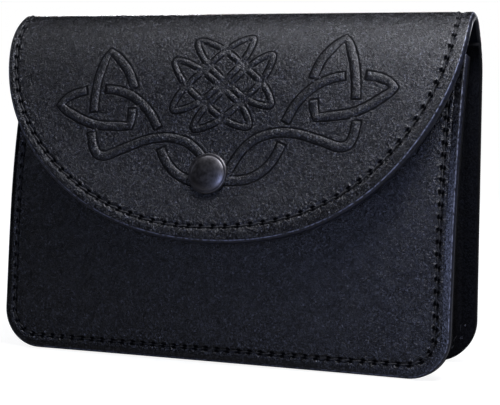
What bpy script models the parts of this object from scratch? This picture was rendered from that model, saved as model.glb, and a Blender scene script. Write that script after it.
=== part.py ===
"""Kilt belt pouch: black leather pouch with a D-shaped flap, a press stud and two belt loops.

Units are metres. X runs along the width, the front faces -Y, and +Z is up. While the pieces are
shaped, the rear face of the back panel is the plane Y = 0. At the end everything hangs from one
empty, which puts the middle of the footprint on the origin and the lowest edge on Z = 0.
"""
import math

import bmesh
import bpy
import numpy as np
from mathutils import Matrix, Vector

# Leather and the air left between pieces that touch
LEATHER = 0.003
GUSSET_LEATHER = 0.002
GAP = 0.0003

# Back panel, fold and flap
HALF_WIDTH = 0.0898
BACK_CORNER = 0.0155
FOLD_START = 0.1050
# The leather's way over the top, from where the back panel starts to bend.
# Columns: distance along the leather, its turn from straight up in degrees.
FOLD_ROWS = (
    (0.000, 0.0),
    (0.012, 27.0),
    (0.022, 38.0),
    (0.032, 112.0),
    (0.050, 150.0),
    (0.060, 157.0),
    (0.118, 171.5),
    (0.130, 172.0),
)
# The flap is a rounded D in the flat, and its straight side lies across the fold here
FLAP_START = 0.0358
FLAP_LENGTH = 0.0876
FLAP_ROUNDNESS = 2.1
# The press stud holds the middle of the flap in, and its sides curl forward.
# Columns: distance down the flap, how far forward the curl would bring the full half width.
CURL_ROWS = (
    (0.000, 0.0000),
    (0.015, 0.0006),
    (0.034, 0.0026),
    (0.063, 0.0075),
    (0.088, 0.0085),
)

# Front panel
FRONT_HALF_WIDTH = 0.0880
FRONT_CORNER = 0.0150
FRONT_TOP = 0.1140
# Side edges of the front panel, seen from the side.
# Columns: height, distance in front of the back panel's rear face.
FRONT_ROWS = (
    (0.000, 0.0400),
    (0.020, 0.0378),
    (0.040, 0.0357),
    (0.060, 0.0331),
    (0.080, 0.0293),
    (0.100, 0.0236),
    (0.114, 0.0182),
)
# The middle of the front panel stands forward of its side edges.
# Columns: height, share of the bulge that the press stud asks for.
BULGE_ROWS = (
    (0.000, 0.00),
    (0.025, 0.75),
    (0.045, 1.00),
    (0.068, 0.84),
    (0.090, 0.50),
    (0.114, 0.20),
)

# Gusset
GUSSET_FRONT_TOP = 0.1135
GUSSET_BACK_TOP = 0.1195
# Half of the section, from the edge of the front flange to the middle of the web.
# Columns: distance in from the panels' edges, share of the way from front to back.
SECTION_ROWS = (
    (0.0003, 0.000),
    (0.0030, 0.000),
    (0.0056, 0.000),
    (0.0070, 0.018),
    (0.0078, 0.055),
    (0.0080, 0.120),
    (0.0080, 0.220),
    (0.0080, 0.340),
    (0.0080, 0.500),
)
# The web folds in where the panels come together. Columns: height, depth of the fold.
WEB_FOLD_ROWS = (
    (0.000, 0.0015),
    (0.016, 0.0020),
    (0.050, 0.0045),
    (0.080, 0.0062),
    (0.100, 0.0062),
    (0.114, 0.0050),
)
PUCKER_DEPTH = 0.0010
PUCKERS_PER_CORNER = 2

# Press stud, a 15 mm cap. Heights are measured along its axis from the flap's outer face.
STUD_GAP = 0.0004
SNAP_DOWN = 0.0633
# The stud's axis rises forward, halfway between the leans of the flap and of the front panel
SNAP_RISE = math.radians(15.0)
CAP_RADIUS = 0.0075
CAP_RISE = 0.0026
CAP_ROLL = 0.0009
POST_RADIUS = 0.0019
SOCKET_FLANGE_RADIUS = 0.0062
SOCKET_FLANGE = 0.0009
SOCKET_RADIUS = 0.0044
SOCKET_DEPTH = 0.0026
SOCKET_BORE = 0.0032
STUD_FLANGE_RADIUS = 0.0060
STUD_FLANGE = 0.0009
STUD_BALL_RADIUS = 0.0028
STUD_NECK_RADIUS = 0.0022
STUD_POST_RADIUS = 0.0017
RIVET_HEAD_RADIUS = 0.0050
RIVET_HEAD = 0.0010

# Belt loops
LOOP_CENTRE = 0.0500
LOOP_WIDTH = 0.0260
LOOP_BOTTOM = 0.0080
LOOP_TOP = 0.1040
LOOP_FOOT = 0.0110
LOOP_RAMP = 0.0060
BELT_ROOM = 0.0055

# Fineness of the meshes
PATH_SAMPLES = 1200
BACK_COLUMNS = 36
BACK_ROWS = 5
FOLD_STEPS = 12
FLAP_STEPS = 15
FRONT_COLUMNS = 28
FRONT_STEPS = 10
GUSSET_BOTTOM_STEPS = 4
GUSSET_CORNER_STEPS = 10
GUSSET_SIDE_STEPS = 7
TURNED_STEPS = 24
LOOP_COLUMNS = 2

# Worked-out heights of the press stud, all below the flap's outer face
SOCKET_TOP = LEATHER + STUD_GAP
SOCKET_END = SOCKET_TOP + SOCKET_FLANGE + SOCKET_DEPTH
STUD_TOP = SOCKET_END + GAP
STUD_SEAT = STUD_TOP + STUD_FLANGE + STUD_GAP
RIVET_TOP = STUD_SEAT + LEATHER + STUD_GAP


def columns(rows):
    """The columns of a table, as arrays."""
    return np.array(rows).T


def smooth(rows, at):
    """Natural cubic spline through a table of two columns, straight on past its ends."""
    x, y = columns(rows)
    h = np.diff(x)
    slope = np.diff(y) / h
    system = np.eye(len(x))
    right = np.zeros(len(x))
    for i in range(1, len(x) - 1):
        system[i, i - 1:i + 2] = h[i - 1], 2.0 * (h[i - 1] + h[i]), h[i]
        right[i] = 6.0 * (slope[i] - slope[i - 1])
    bend = np.linalg.solve(system, right)
    inside = np.clip(at, x[0], x[-1])
    k = np.clip(np.searchsorted(x, inside, side="right") - 1, 0, len(x) - 2)
    a = (x[k + 1] - inside) / h[k]
    b = 1.0 - a
    curve = a * y[k] + b * y[k + 1] + ((a ** 3 - a) * bend[k] + (b ** 3 - b) * bend[k + 1]) * h[k] ** 2 / 6.0
    first = slope[0] - h[0] * bend[1] / 6.0
    last = slope[-1] + h[-1] * bend[-2] / 6.0
    return curve + first * np.minimum(at - x[0], 0.0) + last * np.maximum(at - x[-1], 0.0)


def fold_path(distance):
    """Y, Z and turn of the outer face at a distance past the start of the fold, arcs end to end."""
    reach, turn = columns(FOLD_ROWS)
    fine = np.linspace(0.0, reach[-1], PATH_SAMPLES)
    angle = np.radians(np.interp(fine, reach, turn))
    step = fine[1] - fine[0]
    y = np.concatenate(([0.0], -np.cumsum((np.sin(angle[1:]) + np.sin(angle[:-1])) / 2.0) * step))
    z = np.concatenate(([0.0], np.cumsum((np.cos(angle[1:]) + np.cos(angle[:-1])) / 2.0) * step))
    below = np.minimum(distance, 0.0)
    return (np.interp(distance, fine, y), FOLD_START + below + np.interp(distance, fine, z),
            np.interp(distance, fine, angle))


def rounded(share):
    """The other share on the flap's outline, where power(across) + power(down) = 1."""
    return np.maximum(1.0 - np.abs(share) ** FLAP_ROUNDNESS, 0.0) ** (1.0 / FLAP_ROUNDNESS)


def flap_face(x, distance):
    """Outer face of back panel, fold and flap at a width and a distance past the fold's start."""
    y, z, _ = fold_path(distance)
    down = np.maximum(distance - FLAP_START, 0.0)
    half_chord = rounded(np.minimum(down / FLAP_LENGTH, 1.0))
    curl = smooth(CURL_ROWS, down) * (half_chord ** 2 - (x / HALF_WIDTH) ** 2)
    return np.stack([x, y + np.where(down > 0.0, curl, 0.0), z], axis=-1)


# Point on the flap's outer face under the cap, and the outward axis of the press stud
SNAP_POINT = Vector(flap_face(np.array([0.0]), np.array([FLAP_START + SNAP_DOWN]))[0])
SNAP_AXIS = Vector((0.0, -math.cos(SNAP_RISE), math.sin(SNAP_RISE)))


def snap_bulge():
    """Bulge of the front panel that brings its outer face under the stud's flange."""
    seat = SNAP_POINT - SNAP_AXIS * STUD_SEAT
    edge = smooth(FRONT_ROWS, np.array([seat.z]))[0]
    return (-seat.y - edge) / smooth(BULGE_ROWS, np.array([seat.z]))[0]


FRONT_BULGE = snap_bulge()


def front_face(x, z):
    """Outer face of the front panel: side edges from the table, middle bowed as a parabola."""
    bow = FRONT_BULGE * smooth(BULGE_ROWS, z) * (1.0 - (x / FRONT_HALF_WIDTH) ** 2)
    return np.stack([x, -smooth(FRONT_ROWS, z) - bow, z], axis=-1)


def front_inward(x, z):
    """Unit vectors from the front panel's outer face to its inner face."""
    step = 0.0005
    across = front_face(x + step, z) - front_face(x - step, z)
    upward = front_face(x, z + step) - front_face(x, z - step)
    inward = -np.cross(across, upward)
    return inward / np.linalg.norm(inward, axis=-1, keepdims=True)


def front_foot():
    """Lift of the leaning panel's outer lower edge that keeps its inner edge off the floor."""
    lean = front_inward(np.array([FRONT_HALF_WIDTH]), np.array([0.0]))[0]
    return -lean[2] * LEATHER


FRONT_FOOT = front_foot()


def corner_rise(x, half_width, corner):
    """Height of a panel's lower edge above its lowest line, rounded at both corners."""
    past = np.clip(np.abs(x) - (half_width - corner), 0.0, corner)
    return corner - np.sqrt(corner ** 2 - past ** 2)


def u_outline(u, inset, half_width, corner, foot, top):
    """X and Z on a panel's U-shaped outline, set in by a distance, left top to right top."""
    way = np.abs(2.0 * u - 1.0)
    steps = GUSSET_BOTTOM_STEPS + GUSSET_CORNER_STEPS + GUSSET_SIDE_STEPS
    corner_at = GUSSET_BOTTOM_STEPS / steps
    side_at = (GUSSET_BOTTOM_STEPS + GUSSET_CORNER_STEPS) / steps
    along = np.clip(way / corner_at, 0.0, 1.0)
    angle = np.clip((way - corner_at) / (side_at - corner_at), 0.0, 1.0) * math.pi / 2.0
    upward = np.clip((way - side_at) / (1.0 - side_at), 0.0, 1.0)
    x = along * (half_width - corner) + (corner - inset) * np.sin(angle)
    z = foot + corner - (corner - inset) * np.cos(angle) + upward * (top - foot - corner)
    return np.sign(u - 0.5) * x, z, angle


def mapped_grid(name, columns_wide, rows_high, shape):
    """Grid whose point (u, v), each from 0 to 1, goes to shape(u, v), with coincident points welded."""
    grid = bmesh.new()
    bmesh.ops.create_grid(grid, x_segments=columns_wide, y_segments=rows_high, size=1.0)
    flat = np.array([corner.co[:2] for corner in grid.verts])
    points = shape((flat[:, 0] + 1.0) / 2.0, (flat[:, 1] + 1.0) / 2.0)
    for corner, point in zip(grid.verts, points):
        corner.co = point
    bmesh.ops.remove_doubles(grid, verts=grid.verts, dist=0.00002)
    mesh = bpy.data.meshes.new(name)
    grid.to_mesh(mesh)
    grid.free()
    return mesh


def add_object(name, mesh, material, collection, parent):
    """Object of that name in the collection, hung from the parent and shaded smooth."""
    piece = bpy.data.objects.new(name, mesh)
    collection.objects.link(piece)
    piece.parent = parent
    if material is not None:
        mesh.materials.append(material)
        mesh.shade_smooth()
    return piece


def add_wall(piece, thickness, offset):
    """Leather thickness on an open surface."""
    wall = piece.modifiers.new("wall", "SOLIDIFY")
    wall.thickness = thickness
    wall.offset = offset
    wall.use_even_offset = True
    wall.use_quality_normals = True


def leather(name, colour, roughness):
    """Dyed leather."""
    material = bpy.data.materials.new(name)
    material.use_nodes = True
    shader = material.node_tree.nodes["Principled BSDF"]
    shader.inputs["Base Color"].default_value = (*colour, 1.0)
    shader.inputs["Roughness"].default_value = roughness
    shader.inputs["Metallic"].default_value = 0.0
    return material


def dark_nickel():
    """Dark nickel plate of the press stud."""
    material = bpy.data.materials.new("dark_nickel")
    material.use_nodes = True
    shader = material.node_tree.nodes["Principled BSDF"]
    shader.inputs["Base Color"].default_value = (0.10, 0.10, 0.11, 1.0)
    shader.inputs["Roughness"].default_value = 0.34
    shader.inputs["Metallic"].default_value = 1.0
    return material


def snap_matrix():
    """Placing of the press stud: its local +Z is the outward axis, from the flap's outer face."""
    turn = SNAP_AXIS.to_track_quat("Z", "Y").to_matrix().to_4x4()
    return Matrix.Translation(SNAP_POINT) @ turn


def hole_cutter(name, radius, collection, parent):
    """Cylinder along the press stud's axis, long enough for both leathers."""
    reach = 0.03
    bore = bmesh.new()
    bmesh.ops.create_cone(bore, cap_ends=True, segments=TURNED_STEPS // 2, radius1=radius, radius2=radius,
                          depth=reach)
    mesh = bpy.data.meshes.new(name)
    bore.to_mesh(mesh)
    bore.free()
    cutter = add_object(name, mesh, None, collection, parent)
    cutter.matrix_local = snap_matrix()
    cutter.hide_render = True
    cutter.display_type = "WIRE"
    return cutter


def cut_hole(piece, cutter):
    """Hole in the leather for the post of the press stud."""
    hole = piece.modifiers.new("post_hole", "BOOLEAN")
    hole.operation = "DIFFERENCE"
    hole.solver = "EXACT"
    hole.object = cutter


def back_shape(u, v):
    """Back panel, fold and flap as one sheet: v runs up the back, over the fold and down the flap."""
    x = HALF_WIDTH * np.cos(math.pi * u)
    step = v * (BACK_ROWS + FOLD_STEPS + FLAP_STEPS)
    lowest = corner_rise(x, HALF_WIDTH, BACK_CORNER) - FOLD_START
    up_back = lowest * (1.0 - np.clip(step / BACK_ROWS, 0.0, 1.0))
    over_fold = FLAP_START * np.clip((step - BACK_ROWS) / FOLD_STEPS, 0.0, 1.0)
    to_edge = FLAP_LENGTH * rounded(x / HALF_WIDTH)
    down_flap = to_edge * np.clip((step - BACK_ROWS - FOLD_STEPS) / FLAP_STEPS, 0.0, 1.0)
    return flap_face(x, up_back + over_fold + down_flap)


def build_back_and_flap(material, collection, cutter, parent):
    """Back panel, fold and flap, cut from one leather."""
    rows = BACK_ROWS + FOLD_STEPS + FLAP_STEPS
    mesh = mapped_grid("back_and_flap", BACK_COLUMNS, rows, back_shape)
    piece = add_object("back_and_flap", mesh, material, collection, parent)
    add_wall(piece, LEATHER, -1.0)
    cut_hole(piece, cutter)
    return piece


def front_shape(u, v):
    """Front panel: columns from left to right, rows from the rounded lower edge to the top."""
    x = -FRONT_HALF_WIDTH * np.cos(math.pi * u)
    lowest = FRONT_FOOT + corner_rise(x, FRONT_HALF_WIDTH, FRONT_CORNER)
    return front_face(x, lowest + v * (FRONT_TOP - lowest))


def build_front_panel(material, collection, cutter, parent):
    """Front panel, open at the top under the flap."""
    mesh = mapped_grid("front_panel", FRONT_COLUMNS, FRONT_STEPS, front_shape)
    piece = add_object("front_panel", mesh, material, collection, parent)
    add_wall(piece, LEATHER, -1.0)
    cut_hole(piece, cutter)
    return piece


def gusset_section(v):
    """Distance in from the edges and share of the way across, from front flange to back flange."""
    half = columns(SECTION_ROWS)
    inset = np.concatenate((half[0], half[0][-2::-1]))
    across = np.concatenate((half[1], 1.0 - half[1][-2::-1]))
    place = v * (len(inset) - 1)
    return np.interp(place, np.arange(len(inset)), inset), np.interp(place, np.arange(len(inset)), across)


def gusset_shape(u, v):
    """Gusset: its section carried down one side, along the bottom and up the other side."""
    inset, across = gusset_section(v)
    hollow = 4.0 * across * (1.0 - across)
    _, height, corner_angle = u_outline(u, 0.0, FRONT_HALF_WIDTH, FRONT_CORNER, FRONT_FOOT, GUSSET_FRONT_TOP)
    pucker = PUCKER_DEPTH * np.sin(2.0 * PUCKERS_PER_CORNER * corner_angle) ** 2
    inset = inset + hollow * (smooth(WEB_FOLD_ROWS, height) + pucker)
    behind = LEATHER + GAP + GUSSET_LEATHER / 2.0
    x, z, _ = u_outline(u, inset, FRONT_HALF_WIDTH, FRONT_CORNER, FRONT_FOOT, GUSSET_FRONT_TOP)
    front = front_face(x, z) + behind * front_inward(x, z)
    x, z, _ = u_outline(u, inset, HALF_WIDTH, BACK_CORNER, 0.0, GUSSET_BACK_TOP)
    y, z, turn = fold_path(z - FOLD_START)
    back = np.stack([x, y - behind * np.cos(turn), z - behind * np.sin(turn)], axis=-1)
    return front + across[:, None] * (back - front)


def build_gusset(material, collection, parent):
    """Side and bottom strip between the panels, its edges turned out and sewn flush."""
    along = 2 * (GUSSET_BOTTOM_STEPS + GUSSET_CORNER_STEPS + GUSSET_SIDE_STEPS)
    mesh = mapped_grid("gusset", along, 2 * len(SECTION_ROWS) - 2, gusset_shape)
    piece = add_object("gusset", mesh, material, collection, parent)
    add_wall(piece, GUSSET_LEATHER, 0.0)
    return piece


def turned_piece(name, profile, material, collection, parent):
    """Profile of radius and height, from the top down, turned round the press stud's axis."""
    line = bmesh.new()
    corners = [line.verts.new((radius, 0.0, height)) for radius, height in profile]
    for first, second in zip(corners[:-1], corners[1:]):
        line.edges.new((first, second))
    mesh = bpy.data.meshes.new(name)
    line.to_mesh(mesh)
    line.free()
    piece = add_object(name, mesh, material, collection, parent)
    piece.matrix_local = snap_matrix()
    turn = piece.modifiers.new("turn", "SCREW")
    turn.steps = TURNED_STEPS
    turn.render_steps = TURNED_STEPS
    turn.use_merge_vertices = True
    turn.merge_threshold = 0.00002
    turn.use_smooth_shade = True
    return piece


def arc_points(centre, radii, first, last, count):
    """Points on an ellipse of two radii from one angle to another, in degrees from the axis."""
    angles = np.radians(np.linspace(first, last, count))
    return [(centre[0] + radii[0] * math.sin(a), centre[1] + radii[1] * math.cos(a)) for a in angles]


def build_snap_cap(material, collection, parent):
    """Domed cap with a rolled rim, the post through the flap and the socket behind the leather."""
    rim = STUD_GAP + CAP_ROLL
    dome = arc_points((0.0, rim), (CAP_RADIUS, CAP_RISE - CAP_ROLL), 0.0, 90.0, 8)
    roll = arc_points((CAP_RADIUS - CAP_ROLL, rim), (CAP_ROLL, CAP_ROLL), 110.0, 180.0, 4)
    flange = [
        (POST_RADIUS, STUD_GAP),
        (POST_RADIUS, -SOCKET_TOP),
        (SOCKET_FLANGE_RADIUS, -SOCKET_TOP),
        (SOCKET_FLANGE_RADIUS, -SOCKET_TOP - SOCKET_FLANGE),
        (SOCKET_RADIUS, -SOCKET_TOP - SOCKET_FLANGE),
        (SOCKET_RADIUS, -SOCKET_END),
        (SOCKET_BORE, -SOCKET_END),
        (SOCKET_BORE, -SOCKET_TOP - SOCKET_FLANGE),
        (0.0, -SOCKET_TOP - SOCKET_FLANGE),
    ]
    return turned_piece("snap_cap", dome + roll + flange, material, collection, parent)


def build_snap_stud(material, collection, parent):
    """Ball inside the socket, the flange on the front panel, the post and the rivet head inside."""
    ball_top = SOCKET_TOP + SOCKET_FLANGE + GAP
    ball_middle = (ball_top + STUD_TOP) / 2.0
    ball = arc_points((0.0, -ball_middle), (STUD_BALL_RADIUS, ball_middle - ball_top), 0.0, 125.0, 7)
    below = [
        (STUD_NECK_RADIUS, -STUD_TOP),
        (STUD_FLANGE_RADIUS, -STUD_TOP),
        (STUD_FLANGE_RADIUS, -STUD_TOP - STUD_FLANGE),
        (STUD_POST_RADIUS, -STUD_TOP - STUD_FLANGE),
        (STUD_POST_RADIUS, -RIVET_TOP),
        (RIVET_HEAD_RADIUS, -RIVET_TOP),
        (RIVET_HEAD_RADIUS * 0.8, -RIVET_TOP - RIVET_HEAD),
        (0.0, -RIVET_TOP - RIVET_HEAD),
    ]
    return turned_piece("snap_stud", ball + below, material, collection, parent)


def loop_profile():
    """Height and stand-off of a belt loop's inner face, from its lower foot to its upper foot."""
    steps = 5
    share = np.linspace(0.0, 1.0, steps)
    swell = share * share * (3.0 - 2.0 * share)
    ramp = LOOP_BOTTOM + LOOP_FOOT + share * LOOP_RAMP
    lower = np.stack([ramp, GAP + swell * BELT_ROOM], axis=-1)
    upper = np.stack([LOOP_BOTTOM + LOOP_TOP - ramp, GAP + swell * BELT_ROOM], axis=-1)[::-1]
    middle = [((LOOP_BOTTOM + LOOP_TOP) / 2.0, GAP + BELT_ROOM)]
    return np.vstack([[(LOOP_BOTTOM, GAP)], lower, middle, upper, [(LOOP_TOP, GAP)]])


def build_belt_loop(name, centre, material, collection, parent):
    """Upright strip sewn to the back panel at both ends, standing off between them for the belt."""
    profile = loop_profile()

    def strip(u, v):
        place = v * (len(profile) - 1)
        z = np.interp(place, np.arange(len(profile)), profile[:, 0])
        y = np.interp(place, np.arange(len(profile)), profile[:, 1])
        return np.stack([centre + (u - 0.5) * LOOP_WIDTH, y, z], axis=-1)

    mesh = mapped_grid(name, LOOP_COLUMNS, len(profile) - 1, strip)
    piece = add_object(name, mesh, material, collection, parent)
    add_wall(piece, LEATHER, -1.0)
    return piece


def centre_on_floor(pieces, parent):
    """Moves everything so that the box of all pieces is centred in X and Y and starts at Z = 0."""
    bpy.context.view_layer.update()
    graph = bpy.context.evaluated_depsgraph_get()
    points = []
    for piece in pieces:
        solid = piece.evaluated_get(graph)
        mesh = solid.to_mesh()
        points += [solid.matrix_world @ corner.co for corner in mesh.vertices]
        solid.to_mesh_clear()
    points = np.array(points)
    low = points.min(axis=0)
    high = points.max(axis=0)
    parent.location = (-(low[0] + high[0]) / 2.0, -(low[1] + high[1]) / 2.0, -low[2])
    bpy.context.view_layer.update()


def build_pouch():
    """All pieces of the pouch."""
    for old in list(bpy.data.objects):
        bpy.data.objects.remove(old, do_unlink=True)
    scene = bpy.context.scene
    pouch = bpy.data.collections.new("kilt_belt_pouch")
    cutters = bpy.data.collections.new("cutters")
    scene.collection.children.link(pouch)
    scene.collection.children.link(cutters)
    origin = bpy.data.objects.new("pouch_origin", None)
    pouch.objects.link(origin)
    grain = leather("black_leather", (0.016, 0.017, 0.020), 0.42)
    flesh = leather("black_gusset_leather", (0.010, 0.010, 0.012), 0.60)
    nickel = dark_nickel()
    flap_hole = hole_cutter("flap_hole", POST_RADIUS + GAP, cutters, origin)
    front_hole = hole_cutter("front_hole", STUD_POST_RADIUS + GAP, cutters, origin)
    pieces = [
        build_back_and_flap(grain, pouch, flap_hole, origin),
        build_front_panel(grain, pouch, front_hole, origin),
        build_gusset(flesh, pouch, origin),
        build_snap_cap(nickel, pouch, origin),
        build_snap_stud(nickel, pouch, origin),
        build_belt_loop("belt_loop_left", -LOOP_CENTRE, grain, pouch, origin),
        build_belt_loop("belt_loop_right", LOOP_CENTRE, grain, pouch, origin),
    ]
    centre_on_floor(pieces, origin)


build_pouch()
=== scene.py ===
# %% [markdown]
# # A kilt belt pouch in black leather
# The pouch is a flat leather bag. Its back panel goes up, folds over the top and comes down in
# front as a D-shaped flap, all in one hide. A front panel and a folded strip, the gusset, make
# the bag itself. The flap carries pressed interlace and closes with one press stud.
#
# The measured solids of the part come in first, as the fixed frame. Then each leather gets a
# finer skin of the same shape, with rounded cut edges and a sunk seam, and the solids are hidden.

import math

import bmesh
import bpy
import numpy as np
from mathutils import Matrix, Vector


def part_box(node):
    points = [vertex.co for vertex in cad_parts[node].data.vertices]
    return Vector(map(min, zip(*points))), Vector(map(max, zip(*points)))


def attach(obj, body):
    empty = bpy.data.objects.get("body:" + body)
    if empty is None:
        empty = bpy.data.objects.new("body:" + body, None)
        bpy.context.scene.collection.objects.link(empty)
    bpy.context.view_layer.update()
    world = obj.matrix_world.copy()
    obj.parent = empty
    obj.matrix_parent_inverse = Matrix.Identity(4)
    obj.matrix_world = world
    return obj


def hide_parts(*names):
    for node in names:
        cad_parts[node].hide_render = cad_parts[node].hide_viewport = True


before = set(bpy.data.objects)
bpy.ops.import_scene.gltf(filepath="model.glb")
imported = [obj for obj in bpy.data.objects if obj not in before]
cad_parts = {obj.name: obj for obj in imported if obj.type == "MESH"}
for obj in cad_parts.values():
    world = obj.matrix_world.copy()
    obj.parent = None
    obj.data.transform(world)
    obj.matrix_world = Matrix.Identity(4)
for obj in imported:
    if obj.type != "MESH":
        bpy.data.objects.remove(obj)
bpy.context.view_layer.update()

# %% [markdown]
# ## The leather's measurements
# All lengths are in metres. The back panel's rear face stands on the plane Y = BACK_Y, the front
# looks to -Y, and Z is up from the floor. The tables are the same ones that shaped the solids:
# how the hide turns over the top, how the flap curls, how the front panel leans and bulges.

# %% Measurements
BACK_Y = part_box("back_and_flap")[1].y
LEATHER = 0.003
GUSSET_LEATHER = 0.002
GAP = 0.0003
HALF_WIDTH = 0.0898
BACK_CORNER = 0.0155
FOLD_START = 0.1050
# Columns: distance along the leather past the start of the fold, its turn from straight up in degrees
FOLD_ROWS = ((0.000, 0.0), (0.012, 27.0), (0.022, 38.0), (0.032, 112.0), (0.050, 150.0), (0.060, 157.0),
             (0.118, 171.5), (0.130, 172.0))
FLAP_START = 0.0358
FLAP_LENGTH = 0.0876
FLAP_ROUNDNESS = 2.1
# The flap was cut by hand, so its rim strays from the even D. Columns: way round the D in degrees
# from its right end, how far the rim reaches past the even D
RIM_ROWS = ((0.0, 0.0), (8.0, 0.00080), (30.0, 0.00100), (52.0, 0.00130), (66.0, 0.00090), (78.0, 0.00005),
            (100.0, -0.00050), (122.0, -0.00005), (140.0, 0.00035), (157.0, 0.00085), (171.0, 0.00030),
            (180.0, 0.0))
# A stray fades inwards with the share of the way out, raised to this power
RIM_FADE = 6.0
# Columns: distance down the flap, how far forward the curl would bring the full half width
CURL_ROWS = ((0.000, 0.0000), (0.015, 0.0006), (0.034, 0.0026), (0.063, 0.0075), (0.088, 0.0085))
FRONT_HALF_WIDTH = 0.0880
FRONT_CORNER = 0.0150
FRONT_TOP = 0.1140
# Columns: height, distance of the side edges in front of the back panel's rear face
FRONT_ROWS = ((0.000, 0.0400), (0.020, 0.0378), (0.040, 0.0357), (0.060, 0.0331), (0.080, 0.0293),
              (0.100, 0.0236), (0.114, 0.0182))
# Columns: height, share of the bulge
BULGE_ROWS = ((0.000, 0.00), (0.025, 0.75), (0.045, 1.00), (0.068, 0.84), (0.090, 0.50), (0.114, 0.20))
SNAP_DOWN = 0.0633
SNAP_RISE = math.radians(15.0)
STUD_SEAT = 0.0085
# Keeps a division away from nought
TINY = 1e-12


# %% [markdown]
# ## Smooth lines through a few measured rows
# A hide bends in one flowing line, so the short tables are joined with a natural cubic spline: a
# curve that has no kink and straightens at both ends. Everything else is built on this.

# %% Splines
def smooth(rows, at):
    """Natural cubic spline: cubic pieces through the rows whose slope and bend agree where they meet."""
    x, y = np.array(rows, float).T
    h = np.diff(x)
    slope = np.diff(y) / h
    system = np.eye(len(x))
    right = np.zeros(len(x))
    inner = np.arange(1, len(x) - 1)
    system[inner, inner - 1] = h[:-1]
    system[inner, inner] = 2.0 * (h[:-1] + h[1:])
    system[inner, inner + 1] = h[1:]
    right[inner] = 6.0 * np.diff(slope)
    bend = np.linalg.solve(system, right)
    inside = np.clip(at, x[0], x[-1])
    k = np.clip(np.searchsorted(x, inside, side="right") - 1, 0, len(x) - 2)
    a = (x[k + 1] - inside) / h[k]
    b = 1.0 - a
    curve = a * y[k] + b * y[k + 1] + ((a ** 3 - a) * bend[k] + (b ** 3 - b) * bend[k + 1]) * h[k] ** 2 / 6.0
    first = slope[0] - h[0] * bend[1] / 6.0
    last = slope[-1] + h[-1] * bend[-2] / 6.0
    return curve + first * np.minimum(at - x[0], 0.0) + last * np.maximum(at - x[-1], 0.0)


FOLD_SAMPLES = 1200
SLOPE_STEP = 0.0004


def fold_path(distance):
    """Y, Z and turn of the outer face at a distance past the fold's start: the turn, summed up in steps."""
    reach, turn = np.array(FOLD_ROWS).T
    fine = np.linspace(0.0, reach[-1], FOLD_SAMPLES)
    angle = np.radians(np.interp(fine, reach, turn))
    step = fine[1] - fine[0]
    y = np.concatenate(([0.0], -np.cumsum((np.sin(angle[1:]) + np.sin(angle[:-1])) / 2.0) * step))
    z = np.concatenate(([0.0], np.cumsum((np.cos(angle[1:]) + np.cos(angle[:-1])) / 2.0) * step))
    below = np.minimum(distance, 0.0)
    return (BACK_Y + np.interp(distance, fine, y), FOLD_START + below + np.interp(distance, fine, z),
            np.interp(distance, fine, angle))


def rounded(share):
    """The other share on a rounded D, where power(across) + power(down) = 1."""
    return np.maximum(1.0 - np.abs(share) ** FLAP_ROUNDNESS, 0.0) ** (1.0 / FLAP_ROUNDNESS)


def corner_rise(x, half_width, corner):
    """Height of a panel's lower edge: a quarter circle at each corner, straight between them."""
    past = np.clip(np.abs(x) - (half_width - corner), 0.0, corner)
    return corner - np.sqrt(corner ** 2 - past ** 2)


# %% [markdown]
# ## The two outer faces
# The back, fold and flap are one face: its two coordinates are the width and the distance along
# the leather. The flap's sides curl forward because the press stud holds its middle in. The front
# panel is a second face over width and height, bowed in the middle by what the stud pulls on.

# %% Faces of the back-and-flap and of the front panel
def on_the_d(x, down):
    """Width and distance down the flap as shares of the D's two reaches."""
    return x / HALF_WIDTH, np.maximum(down, 0.0) / FLAP_LENGTH


def way_round(x, down):
    """Way round the D in degrees, and share of the way out to its rim."""
    across, along = on_the_d(x, down)
    return np.degrees(np.arctan2(along, across)), np.hypot(across, along)


def pushed_out(x, down, push):
    """The flat place a push farther out from the middle of the D's straight side."""
    across, along = on_the_d(x, down)
    share = push / np.maximum(np.hypot(across, along), TINY)
    return x + across * share, down + along * share


def flap_face(x, distance):
    """Fold path plus a curl that grows with the square of the way out; the rim strays as it was cut."""
    turn, out = way_round(x, distance - FLAP_START)
    x, down = pushed_out(x, distance - FLAP_START, smooth(RIM_ROWS, turn) * out ** RIM_FADE)
    distance = FLAP_START + down
    y, z, _ = fold_path(distance)
    down = np.maximum(down, 0.0)
    half_chord = rounded(np.minimum(down / FLAP_LENGTH, 1.0))
    curl = smooth(CURL_ROWS, down) * (half_chord ** 2 - (x / HALF_WIDTH) ** 2)
    return np.stack(np.broadcast_arrays(x, y + np.where(down > 0.0, curl, 0.0), z), axis=-1)


SNAP_POINT = flap_face(np.array([0.0]), np.array([FLAP_START + SNAP_DOWN]))[0]
SNAP_AXIS = np.array([0.0, -math.cos(SNAP_RISE), math.sin(SNAP_RISE)])
stud_seat = SNAP_POINT - SNAP_AXIS * STUD_SEAT
edge_depth, bulge_share = [smooth(rows, stud_seat[2:3])[0] for rows in (FRONT_ROWS, BULGE_ROWS)]
FRONT_BULGE = (BACK_Y - stud_seat[1] - edge_depth) / bulge_share


def front_face(x, z):
    """Leaning side edges from the table, and between them a parabola of the bulge's depth."""
    bow = FRONT_BULGE * smooth(BULGE_ROWS, z) * (1.0 - (x / FRONT_HALF_WIDTH) ** 2)
    return np.stack(np.broadcast_arrays(x, BACK_Y - smooth(FRONT_ROWS, z) - bow, z), axis=-1)


def unit(vectors):
    """Vectors brought to length 1."""
    return vectors / np.maximum(np.linalg.norm(vectors, axis=-1, keepdims=True), TINY)


def face_normal(face, a, b):
    """Cross product of the face's two slopes, brought to length 1."""
    first_slope = face(a + SLOPE_STEP, b) - face(a - SLOPE_STEP, b)
    return unit(np.cross(first_slope, face(a, b + SLOPE_STEP) - face(a, b - SLOPE_STEP)))


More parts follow.
